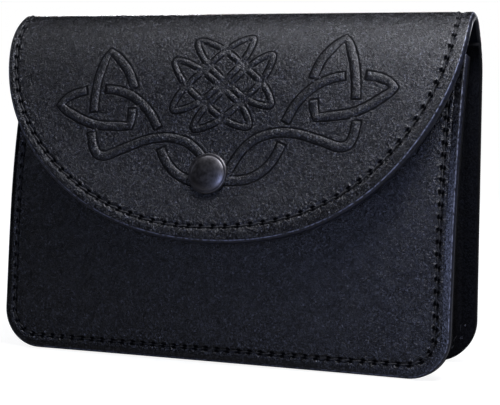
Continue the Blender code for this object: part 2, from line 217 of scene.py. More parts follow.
def flap_normal(x, distance):
    """Outward normal of back, fold and flap."""
    return -face_normal(flap_face, x, distance)


def front_normal(x, z):
    """Outward normal of the front panel."""
    return face_normal(front_face, x, z)


FRONT_FOOT = front_normal(np.array([FRONT_HALF_WIDTH]), np.array([0.0]))[0, 2] * LEATHER
print(f"front bulge {FRONT_BULGE * 1000:.2f} mm, front foot {FRONT_FOOT * 1000:.2f} mm")


# %% [markdown]
# ## From arrays to a mesh
# A grid of points becomes a mesh with quads between neighbouring points. More numbers go on each
# point for the finishes: how deep it lies in the cut edge, how much of the edge is lighter, from wear
# and painted highlight, or painted dark as shade, whether it is on the smooth margin, and how far it
# is pressed in.

# %% Meshes from arrays
def grid_faces(rows, columns, first=0, closed=False):
    """Quads of a grid numbered row by row; a closed grid joins its last column to its first."""
    index = first + np.arange(rows * columns).reshape(rows, columns)
    if closed:
        index = np.concatenate([index, index[:, :1]], axis=1)
    return np.stack([index[:-1, :-1], index[:-1, 1:], index[1:, 1:], index[1:, :-1]], axis=-1).reshape(-1, 4)


def add_mesh(name, points, faces, weld, numbers=None, finish=None):
    """Object at the origin, doubled points welded, with numbers per point and a finish number per face."""
    mesh = bpy.data.meshes.new(name)
    mesh.from_pydata(points.astype(float), [], faces.tolist())
    for label, values in (numbers or {}).items():
        mesh.attributes.new(label, "FLOAT", "POINT").data.foreach_set("value", values.astype(np.float32))
    if finish is not None:
        mesh.polygons.foreach_set("material_index", finish.astype(np.int32))
    body = bmesh.new()
    body.from_mesh(mesh)
    bmesh.ops.remove_doubles(body, verts=body.verts, dist=weld)
    bmesh.ops.recalc_face_normals(body, faces=body.faces)
    body.to_mesh(mesh)
    body.free()
    mesh.shade_smooth()
    piece = bpy.data.objects.new(name, mesh)
    bpy.context.scene.collection.objects.link(piece)
    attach(piece, "root")
    triangles = sum(len(face.vertices) - 2 for face in mesh.polygons)
    print(f"{name}: {triangles} triangles")
    return piece


# %% [markdown]
# ## One way to make every leather
# A cut piece of leather has a grain side, a flesh side and a cut edge between them, rubbed round
# at both corners. So each piece is two grids a thickness apart, with a ring of rounded rows
# closing the border. The outline is set in by the rounding first, and the ring brings it back out.

# %% Leather pieces
def border(grid):
    """The border of a grid in order: first row, last column, last row backwards, first column backwards."""
    return np.concatenate([grid[0, :-1], grid[:-1, -1], grid[-1, :0:-1], grid[:0:-1, 0]])


# Columns: share of the bevel's reach outward, share of the leather's thickness
EDGE_ROWS = ((0.00, 0.000), (0.14, 0.004), (0.26, 0.024), (0.36, 0.058), (0.78, 0.250), (0.92, 0.340),
             (1.00, 0.480), (1.00, 0.800), (0.94, 0.900), (0.80, 0.965), (0.50, 1.000), (0.00, 1.000))
# Border points nearer than this to the one before are left out; doubled points are welded within the second
SAME_PLACE = 0.000001
LEATHER_WELD = 0.000004


def leather_piece(name, points, normals, thickness, bevel, sunk=0.0, margin=1.0, wear_and_painted_light=0.0):
    """Closed piece: outer grid, inner grid a thickness behind it, and bevelled rows round the border."""
    rows, columns = points.shape[:2]
    sunk, margin, wear_and_painted_light = [np.broadcast_to(value, (rows, columns)) for value in (sunk, margin, wear_and_painted_light)]
    outer = points - normals * sunk[..., None]
    inner = points - normals * thickness
    line, out_of_it = border(outer), border(normals)
    kept = np.linalg.norm(line - np.roll(line, 1, axis=0), axis=1) > SAME_PLACE
    line, out_of_it = line[kept], out_of_it[kept]
    away = np.cross(unit(np.roll(line, -1, axis=0) - np.roll(line, 1, axis=0)), out_of_it)
    away = unit(away) * np.sign(np.sum(away * (line - line.mean(axis=0))))
    reach, depth = np.array(EDGE_ROWS).T * ((bevel,), (thickness,))
    ring = line + away * reach[:, None, None] - out_of_it * depth[:, None, None]
    count = rows * columns
    faces = [grid_faces(rows, columns), grid_faces(rows, columns, count),
             grid_faces(len(reach), len(line), 2 * count, closed=True)]
    everything = np.concatenate([outer.reshape(-1, 3), inner.reshape(-1, 3), ring.reshape(-1, 3)])
    cut = np.concatenate([np.zeros(count), np.ones(count), np.repeat(depth / thickness, len(line))])
    smoother = np.concatenate([margin.reshape(-1), np.ones(count + len(reach) * len(line))])
    edge_wear_and_light = np.concatenate([np.zeros(2 * count), np.tile(border(wear_and_painted_light)[kept], len(reach))])
    finish = np.repeat([0, 2, 1], [len(part) for part in faces])
    return add_mesh(name, everything, np.concatenate(faces), LEATHER_WELD,
                    {"cut": cut, "margin": smoother, "wear_and_painted_light": edge_wear_and_light}, finish)


# %% [markdown]
# ## The seams, drawn flat
# Both seams are drawn on the flat leather before anything is sewn. One runs round the whole hide:
# up both sides of the back, over the fold and round the flap. The other is a U on the front panel.
# The needle pulls the leather down along them, so each outer face is sunk a little there.

# %% Seam lines
SEAM_IN = 0.0049
# Columns: way round the flap in degrees from its right end, how far the seam strays outwards
WANDER_ROWS = ((0.0, 0.0), (30.0, -0.0003), (52.0, -0.0006), (86.0, -0.0007), (100.0, 0.0), (122.0, 0.0004),
               (140.0, 0.0011), (157.0, 0.0014), (180.0, 0.0012))
FRONT_SEAM_IN = 0.0049
FRONT_SHIFT = -0.0005
FRONT_SEAM_DOWN = 0.002
BED_DEPTH = 0.0012
BED_WIDTH = 0.0011
BED_STEP = 0.0006
MARGIN_STEP = 0.001
MARGIN_BLUR = 0.0015
CORNER_POINTS = 24
ROUND_POINTS = 240
AT_A_TIME = 4000


def running(line):
    """Running length along a line, from 0 at its first point."""
    return np.concatenate(([0.0], np.cumsum(np.linalg.norm(np.diff(line, axis=0), axis=1))))


def even_steps(line, spacing):
    """Points at even distances along a drawn line: its running length, divided evenly."""
    run = running(line)
    at = np.linspace(0.0, run[-1], max(int(round(run[-1] / spacing)), 1) + 1)
    return np.stack([np.interp(at, run, line[:, i]) for i in range(line.shape[1])], axis=-1)


def u_line(half_width, corner, foot, top, inset):
    """Down the left side, round two quarter circles and up the right side, set in by a distance."""
    turn = np.linspace(0.0, math.pi / 2.0, CORNER_POINTS)
    radius = corner - inset
    across = half_width - corner + radius * np.cos(turn)
    height = foot + corner - radius * np.sin(turn)
    side = half_width - inset
    return np.concatenate([[(-side, top)], np.stack([-across, height], axis=-1),
                           np.stack([across, height], axis=-1)[::-1], [(side, top)]])


def hide_line(inset):
    """Closed line round the hide: the back's U, straight over the fold, and the flap's smaller rounded D."""
    back = u_line(HALF_WIDTH, BACK_CORNER, -FOLD_START, FLAP_START, inset)
    turn = np.linspace(0.0, math.pi, ROUND_POINTS)[1:]
    across = (HALF_WIDTH - inset) * np.cos(turn)
    down = (FLAP_LENGTH - inset) * rounded(across / (HALF_WIDTH - inset))
    return np.concatenate([back, np.stack([across, FLAP_START + down], axis=-1)])


def near(points, line):
    """Distance of flat points from the nearest point of a line, found for some points at a time."""
    flat = points.reshape(-1, 2)
    found = [np.sqrt(((flat[i:i + AT_A_TIME, None] - line) ** 2).sum(axis=-1).min(axis=1))
             for i in range(0, len(flat), AT_A_TIME)]
    return np.concatenate(found).reshape(points.shape[:-1])


def bed(flat, seam):
    """Sunk depth under a seam: a bell curve of the distance from it, which makes room for the sewn strip."""
    return BED_DEPTH * np.exp(-(near(flat, even_steps(seam, BED_STEP)) / BED_WIDTH) ** 2)


def ease(share):
    """Smooth step from 0 to 1: three squares less two cubes."""
    share = np.clip(share, 0.0, 1.0)
    return share * share * (3.0 - 2.0 * share)


def margin_share(flat, edge, inset):
    """1 in the smooth margin between the edge and its seam, 0 inside the seam."""
    return 1.0 - ease((near(flat, even_steps(edge, MARGIN_STEP)) - inset) / MARGIN_BLUR + 0.5)


def sewn_by_hand(line):
    """The hide's seam as it wanders: pushed out round the flap by the table, fading out behind the fold."""
    x, down = line[:, 0], line[:, 1] - FLAP_START
    turn, _ = way_round(x, down)
    x, down = pushed_out(x, down, smooth(WANDER_ROWS, turn) * ease(1.0 + down / FLAP_START))
    return np.stack([x, FLAP_START + down], axis=-1)


HIDE_SEAM = sewn_by_hand(hide_line(SEAM_IN))
FRONT_SEAM = u_line(FRONT_HALF_WIDTH, FRONT_CORNER, FRONT_FOOT, FRONT_TOP - FRONT_SEAM_DOWN,
                    FRONT_SEAM_IN) + (FRONT_SHIFT, 0.0)
FRONT_EDGE = u_line(FRONT_HALF_WIDTH, FRONT_CORNER, FRONT_FOOT, FRONT_TOP, 0.0)
print(f"hide seam {running(HIDE_SEAM)[-1]:.3f} m, front seam {running(FRONT_SEAM)[-1]:.3f} m")


# %% [markdown]
# ## Back panel, fold and flap
# On the real pouch this is one piece of 3 mm hide. The grid's columns run from the bottom of the
# back, over the fold and down to the flap's edge, so its last row is the D itself. Columns crowd
# towards the sides and rows towards the edge, where the seam and the curl need them.

# %% Back panel, fold and flap
BEVEL = 0.00105
# Columns of the grid, and its rows on the back, on the fold and on the flap
HIDE_GRID = (260, 18, 34, 66)
# The flap's rows stand closer past this share of the way to its rim
CLOSE_FROM = 0.90
# How much smoother the margin outside the seam is, and where the edge's lighter corners start on the fold,
# wear and painted highlight; before it the edge is painted dark as shade
HIDE_MARGIN = 0.4
EDGE_LIGHT_FROM = 0.3


def shares(*parts):
    """Rising shares from 0 to 1 in runs: each run has its end and its number of steps."""
    run, last = [0.0], 0.0
    for end, steps in parts:
        run += list(np.linspace(last, end, steps + 1)[1:])
        last = end
    return np.array(run)


def mirrored(half):
    """Rising values from 0, with their mirror image before them."""
    return np.concatenate([-half[:0:-1], half])


def crowded(half, columns):
    """Widths from side to side, evenly turned on a half circle, so that they crowd at both sides."""
    return -half * np.cos(np.linspace(0.0, math.pi, columns))


def hide_grid(columns, back_rows, fold_rows, flap_rows):
    """Width and distance along the hide for every grid point, the outline set in by the edge's rounding."""
    half = HALF_WIDTH - BEVEL
    x = crowded(half, columns)
    lowest = corner_rise(x, half, BACK_CORNER - BEVEL) + BEVEL - FOLD_START
    reach = (FLAP_LENGTH - BEVEL) * rounded(x / half)
    back = lowest * (1.0 - shares((1.0, back_rows)))[:, None]
    fold = np.broadcast_to((FLAP_START * shares((1.0, fold_rows)))[1:, None], (fold_rows, columns))
    flap = FLAP_START + reach * shares((CLOSE_FROM, flap_rows), (1.0, flap_rows // 3))[1:, None]
    distance = np.concatenate([back, fold, flap])
    return np.broadcast_to(x, distance.shape), distance


hide_x, hide_s = hide_grid(*HIDE_GRID)
hide_flat = np.stack([hide_x, hide_s], axis=-1)
hide = leather_piece("back_and_flap_skin", flap_face(hide_x, hide_s), flap_normal(hide_x, hide_s), LEATHER,
                     BEVEL, bed(hide_flat, HIDE_SEAM),
                     HIDE_MARGIN * margin_share(hide_flat, hide_line(0.0), SEAM_IN),
                     wear_and_painted_light=ease((hide_s - EDGE_LIGHT_FROM * FLAP_START) / FLAP_START))
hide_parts("back_and_flap")

# %% [markdown]
# ## Front panel
# The front panel leans back towards the top and bulges where the stud pulls. It is a plain panel
# with two rounded lower corners, open at the top under the flap, sewn to the gusset all round.

# %% Front panel
# Share of the front panel's edge with lighter corners: wear and painted highlight
FRONT_EDGE_LIGHT = 0.9
# Columns and rows of the grid; a quarter of the rows lies below this share of the height
FRONT_GRID = (190, 96)
CLOSE_BELOW = 0.09


def front_grid(columns, rows):
    """Width and height for every grid point; columns crowd to the sides, rows to the lower edge."""
    half = FRONT_HALF_WIDTH - BEVEL
    x = crowded(half, columns)
    lowest = FRONT_FOOT + BEVEL + corner_rise(x, half, FRONT_CORNER - BEVEL)
    share = shares((CLOSE_BELOW, rows // 4), (1.0, rows - rows // 4))[:, None]
    z = lowest + share * (FRONT_TOP - BEVEL - lowest)
    return np.broadcast_to(x, z.shape), z


front_x, front_z = front_grid(*FRONT_GRID)
front_flat = np.stack([front_x, front_z], axis=-1)
front = leather_piece("front_panel_skin", front_face(front_x, front_z), front_normal(front_x, front_z),
                      LEATHER, BEVEL, bed(front_flat, FRONT_SEAM),
                      margin_share(front_flat, FRONT_EDGE, FRONT_SEAM_IN), wear_and_painted_light=FRONT_EDGE_LIGHT)
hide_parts("front_panel")

# %% [markdown]
# ## Gusset
# The gusset is a thinner strip carried down one side, along the bottom and up the other. Its two
# edges are turned out into flanges and sewn flush with the panels, and its web folds in between
# them, deepest where the bag closes. At each lower corner the strip has too much length on the
# inside of the bend, so it puckers there.

# %% Gusset
GUSSET_FRONT_TOP = 0.1135
GUSSET_BACK_TOP = 0.1195
GUSSET_BEVEL = 0.00035
# Columns: distance in from the panels' edges, share of the way from front to back, half of the section
SECTION_ROWS = ((0.0003, 0.000), (0.0030, 0.000), (0.0056, 0.000), (0.0070, 0.018), (0.0078, 0.055),
                (0.0080, 0.120), (0.0080, 0.220), (0.0080, 0.340), (0.0080, 0.500))
# Columns: height, depth of the web's fold
WEB_FOLD_ROWS = ((0.000, 0.0015), (0.016, 0.0020), (0.050, 0.0045), (0.080, 0.0062), (0.100, 0.0062),
                 (0.114, 0.0050))
PUCKER_DEPTH = 0.0012
# Columns from the middle of the bottom to the corner, round it and up the side; then the rows across
GUSSET_COLUMNS = ((1.0, 34), (2.0, 40), (3.0, 60))
GUSSET_ROWS = 49


def gusset_outline(side, inset, half_width, corner, foot, top):
    """X and Z on a U set in by a distance. Side runs -3 to 3: bottom to 1, corner to 2, side to 3."""
    way = np.abs(side)
    along = np.clip(way, 0.0, 1.0)
    angle = np.clip(way - 1.0, 0.0, 1.0) * math.pi / 2.0
    upward = np.clip(way - 2.0, 0.0, 1.0)
    x = along * (half_width - corner) + (corner - inset) * np.sin(angle)
    z = foot + corner - (corner - inset) * np.cos(angle) + upward * (top - foot - corner)
    return np.sign(side) * x, z, angle


def gusset_face(side, row):
    """Middle of the strip: anchors on both panels, and between them a web folded in and puckered."""
    half = np.array(SECTION_ROWS).T
    inset = np.concatenate((half[0], half[0][-2::-1]))
    across = np.concatenate((half[1], 1.0 - half[1][-2::-1]))
    steps = np.linspace(0.0, 1.0, len(inset))
    inset, across = np.interp(row, steps, inset), np.interp(row, steps, across)
    hollow = 4.0 * across * (1.0 - across)
    _, height, angle = gusset_outline(side, 0.0, FRONT_HALF_WIDTH, FRONT_CORNER, FRONT_FOOT, GUSSET_FRONT_TOP)
    pucker = PUCKER_DEPTH * np.sin(4.0 * angle) ** 2
    inset = inset + hollow * (smooth(WEB_FOLD_ROWS, height) + pucker)
    behind = LEATHER + GAP + GUSSET_LEATHER / 2.0
    x, z, _ = gusset_outline(side, inset, FRONT_HALF_WIDTH, FRONT_CORNER, FRONT_FOOT, GUSSET_FRONT_TOP)
    before = front_face(x, z) - behind * front_normal(x, z)
    x, z, _ = gusset_outline(side, inset, HALF_WIDTH, BACK_CORNER, 0.0, GUSSET_BACK_TOP)
    y, z, turn = fold_path(z - FOLD_START)
    after = np.stack([x, y - behind * np.cos(turn), z - behind * np.sin(turn)], axis=-1)
    return before + across[..., None] * (after - before)


gusset_side, gusset_row = np.meshgrid(mirrored(shares(*GUSSET_COLUMNS)), np.linspace(0.0, 1.0, GUSSET_ROWS))
middle = gusset_face(gusset_side, gusset_row)
slope_along = np.gradient(middle, axis=1)
slope_across = np.gradient(middle, axis=0)
gusset_out = unit(np.cross(slope_across, slope_along))
gusset = leather_piece("gusset_skin", middle + gusset_out * GUSSET_LEATHER / 2.0, gusset_out, GUSSET_LEATHER,
                       GUSSET_BEVEL)
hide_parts("gusset")

# %% [markdown]
# ## Belt loops
# Two upright strips on the back hold the belt. Each is sewn down at both ends and stands off
# between them. The strip's line, seen from the side, is a short table; its corners are cut round.

# %% Belt loops
LOOP_CENTRE = 0.0500
LOOP_WIDTH = 0.0260
LOOP_BOTTOM = 0.0080
LOOP_TOP = 0.1040
LOOP_FOOT = 0.0110
LOOP_RAMP = 0.0060
BELT_ROOM = 0.0055
LOOP_CORNER = 0.0025
# Columns and rows of a loop's grid
LOOP_GRID = (25, 130)


def loop_face(x, z):
    """Inner face of a loop: flat feet, and between them a stand-off that swells in and out smoothly."""
    low = (z - LOOP_BOTTOM - LOOP_FOOT) / LOOP_RAMP
    high = (LOOP_TOP - LOOP_FOOT - z) / LOOP_RAMP
    stand_off = BELT_ROOM * ease(np.minimum(low, high))
    return np.stack(np.broadcast_arrays(x, BACK_Y + GAP + stand_off, z), axis=-1)


def loop_normal(x, z):
    """Outward normal of a belt loop, away from the pouch."""
    return -face_normal(loop_face, x, z)


def loop_outer(centre):
    """Outer face of the loop at a place across the back: its inner face carried out by the leather."""
    def face(x, z):
        """Points of the outer face at a width and a height."""
        return loop_face(x, z) + (centre, 0.0, 0.0) + loop_normal(x, z) * LEATHER
    return face


def loop_grid(columns, rows):
    """Strip set in by the rounding of its edge, its two ends rounded at the corners."""
    half = LOOP_WIDTH / 2.0 - BEVEL
    x = crowded(half, columns)
    rise = corner_rise(x, half, LOOP_CORNER) + BEVEL
    z = LOOP_BOTTOM + rise + np.linspace(0.0, 1.0, rows)[:, None] * (LOOP_TOP - LOOP_BOTTOM - 2.0 * rise)
    return np.broadcast_to(x, z.shape), z


def belt_loop(name, centre):
    """One loop: a cut strip behind its outer face."""
    x, z = loop_grid(*LOOP_GRID)
    piece = leather_piece(name + "_skin", loop_outer(centre)(x, z), loop_normal(x, z), LEATHER, BEVEL)
    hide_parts(name)
    return piece


loops = [belt_loop("belt_loop_left", -LOOP_CENTRE), belt_loop("belt_loop_right", LOOP_CENTRE)]

# %% [markdown]
# ## Two finishes on one strip
# Where the leather is pressed or pricked, the faces that lie in a groove or a hole get a second
# finish, matt and deep black: painted shade for the hollow.

# %% Meshes with grooves
MATT_FROM = 0.5
STRIP_WELD = 0.000002


def grooved_mesh(name, points, faces, painted_shade_share):
    """Leather strip whose faces take the second finish, painted shade, where the mean shade share is high."""
    piece = add_mesh(name, points, faces, STRIP_WELD, {"painted_shade_share": painted_shade_share},
                     painted_shade_share[faces].mean(axis=1) > MATT_FROM)
    return piece


def gathered(parts):
    """Parts of points, faces and perhaps painted shade shares as one: each part's faces count on from the
    last.
    """
    points, faces, *painted_shade_share = zip(*parts)
    first = np.cumsum([0] + [len(part) for part in points[:-1]])
    faces = [part + number for part, number in zip(faces, first)]
    return [np.concatenate(column) for column in (points, faces, *painted_shade_share)]


# %% [markdown]
# ## Pressed interlace: one strand
# The flap was stamped while damp. A stamp leaves a thin groove along both sides of each strand,
# lets the strand itself swell between them and pushes up a low rim outside; the grooves are painted
# deep black as shade. That relief is far finer than the hide's own grid, so each strand is a narrow
# strip of its own grid, laid on the leather. Along a strand only its middle line is drawn. Its height
# follows from one number, the distance from the groove, so a strand that ends under another simply closes its
# groove round.

# %% Strand of the interlace
STAMP_TURN = math.radians(3.7)
STAMP_X = 0.00175
STAMP_DOWN = 0.02874
GROOVE_FLOOR = 0.00002
GROOVE_HALF = 0.00036
STRAND_CREST = 0.00034
RIM_CREST = 0.00018
RIM_REACH = 0.0014
RIM_RISE = 0.00022
STRIP_SUNK = 0.00030
STRIP_LIFT = -0.00004
LINE_STEP = 0.00025
# Distance between the strip's rows, and the number of closer rows at each end
STRAND_ROW = 0.00042
END_ROWS = 21
# Lengths from the groove to each grid line beside it, inwards and outwards
INSIDE_REACH = (0.0, 0.00015, 0.00030, 0.00044, 0.00062, 0.00090)
OUTSIDE_REACH = (0.00015, 0.00030, 0.00044, 0.00062, 0.00095, RIM_REACH)


def curve_through(points):
    """Smooth line through a few points: natural splines of both coordinates over the summed chords."""
    points = np.array(points, float)
    chord = running(points)
    fine = np.linspace(0.0, chord[-1], max(int(chord[-1] / LINE_STEP), 4) + 1)
    return np.stack([smooth(np.stack([chord, points[:, i]], axis=-1), fine) for i in (0, 1)], axis=-1)


def strand_line(runs, reach):
    """Middle line, its direction and the slant of its cross lines; the slant makes a mitre at each corner."""
    lines = [curve_through(run) for run in runs]
    ways = [unit(np.gradient(line, axis=0)) for line in lines]
    slants = [np.zeros(len(line)) for line in lines]
    for k in range(len(lines) - 1):
        before, after = ways[k][-1], ways[k + 1][0]
        turn = math.atan2(before[0] * after[1] - before[1] * after[0], float(before @ after))
        mitre = math.tan(turn / 2.0)
        fade = 2.0 * reach * abs(mitre)
        to_corner = running(lines[k])[-1] - running(lines[k])
        slants[k] -= mitre * np.maximum(1.0 - to_corner / fade, 0.0)
        slants[k + 1] += mitre * np.maximum(1.0 - running(lines[k + 1]) / fade, 0.0)
    return np.concatenate(lines), np.concatenate(ways), np.concatenate(slants)


def strand_height(off, half_width):
    """Height by distance off the groove: a round swell inside it, and a low rim outside that fades out."""
    inside = np.clip((half_width + off) / (half_width - GROOVE_HALF), 0.0, 1.0)
    swell = (STRAND_CREST - GROOVE_FLOOR) * (1.0 - inside ** 4)
    rise = (RIM_CREST - GROOVE_FLOOR) * (1.0 - np.exp(-(np.maximum(off - GROOVE_HALF, 0.0) / RIM_RISE) ** 2))
    fade = ease(off / RIM_REACH)
    return GROOVE_FLOOR + np.where(off < 0.0, swell, rise * (1.0 - fade) - (GROOVE_FLOOR - STRIP_LIFT) * fade)


def strand(runs, half_width, tip_roundness, open_ends=False):
    """Flat points, heights and painted shade share of one strand, its ends closed by the groove or fading
    out.
    """
    line, way, slant = strand_line(runs, half_width + RIM_REACH)
    length = running(line)
    total = length[-1]
    ends = 2.0 * RIM_REACH
    fine = np.linspace(-RIM_REACH, ends, END_ROWS, endpoint=False)
    at = np.concatenate([fine, np.arange(ends, total - ends, STRAND_ROW), (total - fine)[::-1]])
    number = np.arange(len(length))
    order = np.interp(at, length, number)
    middle = np.stack([np.interp(order, number, line[:, i]) for i in (0, 1)], axis=-1)
    way = unit(np.stack([np.interp(order, number, way[:, i]) for i in (0, 1)], axis=-1))
    slant = np.interp(order, number, slant)
    middle = middle + way * (np.minimum(at, 0.0) + np.maximum(at - total, 0.0))[:, None]
    across = mirrored(np.concatenate([[0.0], half_width - np.array(INSIDE_REACH[::-1]),
                                      half_width + np.array(OUTSIDE_REACH)]))
    side = np.stack([-way[:, 1], way[:, 0]], axis=-1)
    cross = (side + slant[:, None] * way) * ((1.0 + slant ** 2) ** (-0.5 * tip_roundness))[:, None]
    points = middle[:, None] + across[:, None] * cross[:, None]
    beyond = np.maximum(-at, at - total)[:, None]
    off_side = np.abs(across) - half_width
    round_corner = np.hypot(np.maximum(off_side, 0.0), np.maximum(beyond, 0.0))
    off = np.where(np.minimum(off_side, beyond) > 0.0, round_corner, np.maximum(off_side, beyond))
    height = strand_height(off, half_width)
    # Share of painted shade: faces in the groove get the deep black finish
    painted_shade_share = np.exp(-(off / GROOVE_HALF) ** 4)
    if open_ends:
        start, end = np.clip((np.stack([at, total - at]) + RIM_REACH) / ends, 0.0, 1.0)
        shown = (start * end)[:, None]
        open_side = strand_height(off_side, half_width)[None]
        height = np.where(shown < 1.0, STRIP_LIFT + (open_side - STRIP_LIFT) * shown, height)
        painted_shade_share = np.where(shown < 1.0, np.exp(-(off_side / GROOVE_HALF) ** 4)[None] * shown, painted_shade_share)
    return points, height, painted_shade_share


def pressed_on(flat, height, share):
    """One strand as points, faces and groove share: turned, placed and lifted off the flap's face."""
    x = STAMP_X + flat[..., 0] * math.cos(STAMP_TURN) - flat[..., 1] * math.sin(STAMP_TURN)
    down = STAMP_DOWN - flat[..., 0] * math.sin(STAMP_TURN) - flat[..., 1] * math.cos(STAMP_TURN)
    face, out = flap_face(x, FLAP_START + down), flap_normal(x, FLAP_START + down)
    count = x.size
    edge = border(np.arange(count).reshape(x.shape))
    after = np.roll(edge, -1)
    points = np.concatenate([face + out * height[..., None], face - out * STRIP_SUNK]).reshape(-1, 3)
    faces = [grid_faces(*x.shape), grid_faces(*x.shape, count)[:, ::-1],
             np.stack([edge, after, after + count, edge + count], axis=-1)]
    return points, np.concatenate(faces), np.concatenate([share.reshape(-1), np.zeros(count)])


def press(name, strands):
    """The strands of one stamp, pressed on and joined in one piece."""
    return grooved_mesh(name, *gathered([pressed_on(*one) for one in strands]))


# %% [markdown]
# ## Side figures
# Each side of the flap has one long strand that runs up from under the stud, along the bottom,
# round an arch and a pointed loop, and back as a leaf. It is traditional interlace: the strand goes
# over and under itself, so it is drawn in five runs, each ending where it dives under another.
# The right figure is measured, and the left one is the same stamp turned over.

# %% Side figures
SIDE_HALF_WIDTH = 0.00175
TIP_ROUNDNESS = 0.85
MM = 0.001
# Places on the stamp in mm, to the right and upwards; a run with corners has several parts
VINE = (((1.5, -36.5), (3.7, -32.9), (5.4, -30.2), (7.6, -27.0), (10.0, -24.5), (13.2, -22.2),
         (16.5, -20.9), (20.3, -20.1), (24.5, -20.0), (28.5, -20.5), (32.0, -21.4), (35.8, -22.7),
         (39.8, -24.1), (42.8, -25.3), (45.8, -25.9), (48.2, -25.1), (49.6, -23.1), (50.4, -20.8),
         (50.9, -18.2), (51.2, -16.6)),)
ARCH = (((50.6, -9.0), (50.6, -5.0), (50.3, -0.5), (49.6, 4.5), (48.4, 9.0), (46.9, 13.0), (45.6, 15.0)),
        ((45.6, 15.0), (42.9, 12.9), (40.3, 10.2), (37.8, 7.0), (36.1, 3.5), (35.0, 0.6), (34.5, -0.6)))
LOOP = (((35.1, -8.2), (35.3, -11.3), (36.2, -15.0)),
        ((36.2, -15.0), (40.2, -14.8), (44.6, -14.5), (48.7, -14.0), (52.4, -12.8), (56.0, -11.2),
         (59.8, -8.9), (62.3, -7.2), (64.2, -5.3)),
        ((64.2, -5.3), (62.3, -3.2), (59.3, -1.5), (57.0, -0.8), (53.9, -0.2)))
LONG_ARC = (((46.5, -0.2), (43.0, -0.5), (39.3, -1.6), (35.7, -3.2), (32.2, -5.9), (29.1, -9.0),
             (26.9, -12.2), (25.3, -15.2), (24.5, -16.5)),)
LEAF = (((23.4, -24.0), (22.1, -27.0), (20.2, -30.1), (17.3, -33.2), (14.0, -35.3), (11.0, -36.5),
         (8.0, -36.9), (4.2, -37.0), (1.0, -36.9)),)
RUNS = (VINE, ARCH, LOOP, LONG_ARC, LEAF)


def side_figure(hand):
    """Five runs of the side figure; hand is 1 for the right one and -1 for the left one."""
    return [strand([np.array(part) * (hand * MM, MM) for part in run], SIDE_HALF_WIDTH, TIP_ROUNDNESS)
            for run in RUNS]


figures = [press("pressed_figure_right", side_figure(1)), press("pressed_figure_left", side_figure(-1))]

# %% [markdown]
# ## Middle knot
# The knot is eight pointed loops, two at each end of a square cross, woven through each other. It
# is drawn on the square's own diagonals, p and q, so one quarter serves for all of them. Where two
# strands cross, the stamp left the leather plain, so the runs stop short of each crossing.

# %% Middle knot
KNOT_HALF_WIDTH = 0.00125
KNOT_STRETCH = (1.045, 0.955)
LOOP_AXIS = 5.6
# Columns: distance from the knot's middle, half the distance between a loop's two strands, in mm
LOOP_ROWS = ((0.0, 4.37), (8.0, 4.30), (11.4, 3.90), (13.5, 3.45), (15.5, 2.85), (17.5, 2.05), (19.0, 1.20))
LOOP_TIP = 20.0
BAND_ENDS = (2.7, 8.5)
BAND_POINTS = 6
# The knot's middle sits to the right of and below the middle of its tips, by this much in mm
KNOT_SHIFT = (0.9, -1.1)


def from_diagonals(p, q):
    """Flat place of a point p along the rising diagonal and q to its left, shifted near the middle."""
    inner = np.maximum(1.0 - (p * p + q * q) / LOOP_TIP ** 2, 0.0)
    x = KNOT_STRETCH[0] * (p - q) / math.sqrt(2.0) + KNOT_SHIFT[0] * inner
    y = KNOT_STRETCH[1] * (p + q) / math.sqrt(2.0) + KNOT_SHIFT[1] * inner
    return np.stack([x, y], axis=-1) * MM


def loop_side(away):
    """Points of one short band: one strand of a loop, near the knot's middle."""
    p = np.linspace(*BAND_ENDS, BAND_POINTS)
    return p, LOOP_AXIS + away * smooth(LOOP_ROWS, p)


def loop_turn():
    """Points from one side of a loop round its tip to the other side."""
    p, half = np.array(LOOP_ROWS[2:]).T
    return (np.concatenate([p, [LOOP_TIP], p[::-1]]),
            LOOP_AXIS + np.concatenate([half, [0.0], -half[::-1]]))


def knot_strands():
    """For each end of the cross and each side of it: two short bands and the pointed loop's two runs."""
    made = []
    for turn in range(4):
        for hand in (1.0, -1.0):
            def placed(p, q):
                """The quarter turns of the square cross, with q mirrored for the other side."""
                p, q = p, q * hand
                for _ in range(turn):
                    p, q = -q, p
                return from_diagonals(p, q)
            for run in (loop_side(1.0), loop_side(-1.0), loop_turn()):
                made.append(strand([placed(*run)], KNOT_HALF_WIDTH, 1.0, open_ends=True))
    return made


knot = press("pressed_knot", knot_strands())

# %% [markdown]
# ## Stitching
# The seams are sewn with waxed black thread through pricked holes. Pulled tight, the thread draws
# the leather into a channel; at each hole the leather dips and its cut lips stand up a little, so a
# seam is a row of dark slanted pits with bright dots beside them. That is relief, like the pressed
# interlace, so each seam is a strip of fine grid laid over a bed sunk into the coarser skin. Its
# height is a function of two numbers: the way across the seam, and the way along to the next hole.

# %% Sewn strip
CHANNEL_DEPTH = 0.00042
CHANNEL_WIDTH = 0.00105
PIT_DEPTH = 0.00060
PIT_LONG = 0.00122
PIT_SHORT = 0.00096
PIT_SLANT = math.radians(50.0)
LIP_HEIGHT = 0.00040
# Shares of the way from a pit's middle to its rim, and half the width of what lies there
PIT_WALL = (0.45, 0.55)
LIP = (1.25, 0.24)
# The pit and a ring round it out to this share are painted dark as shade
PAINTED_SHADE_RING = (0.84, 0.35)
# The lip is lowest at the pit's sides, this share of its height at the ends
SIDE_LIP = 0.25
# Height, distance from the seam and width: first of the sunk border, then of the painted shade line by the
# thread
BORDER = (0.00012, 0.0019, 0.0007)
CREASE_SHADE = (0.8, 0.00036, 0.00015)
STRIP_ROW = 0.00028
BEHIND_ROW = 0.00042
STRIP_OFFSETS = (0.0, 0.00018, 0.00036, 0.00054, 0.00074, 0.00098, 0.00128, 0.00168, 0.00215, 0.00265)
# The band's two lower corners: depth under the bed and share of the strip's half width
LOWER_CORNER = (0.0002, 0.8)
# Length of an open end's point, and how deep it sinks
POINTED_END = (0.001, 0.0006)


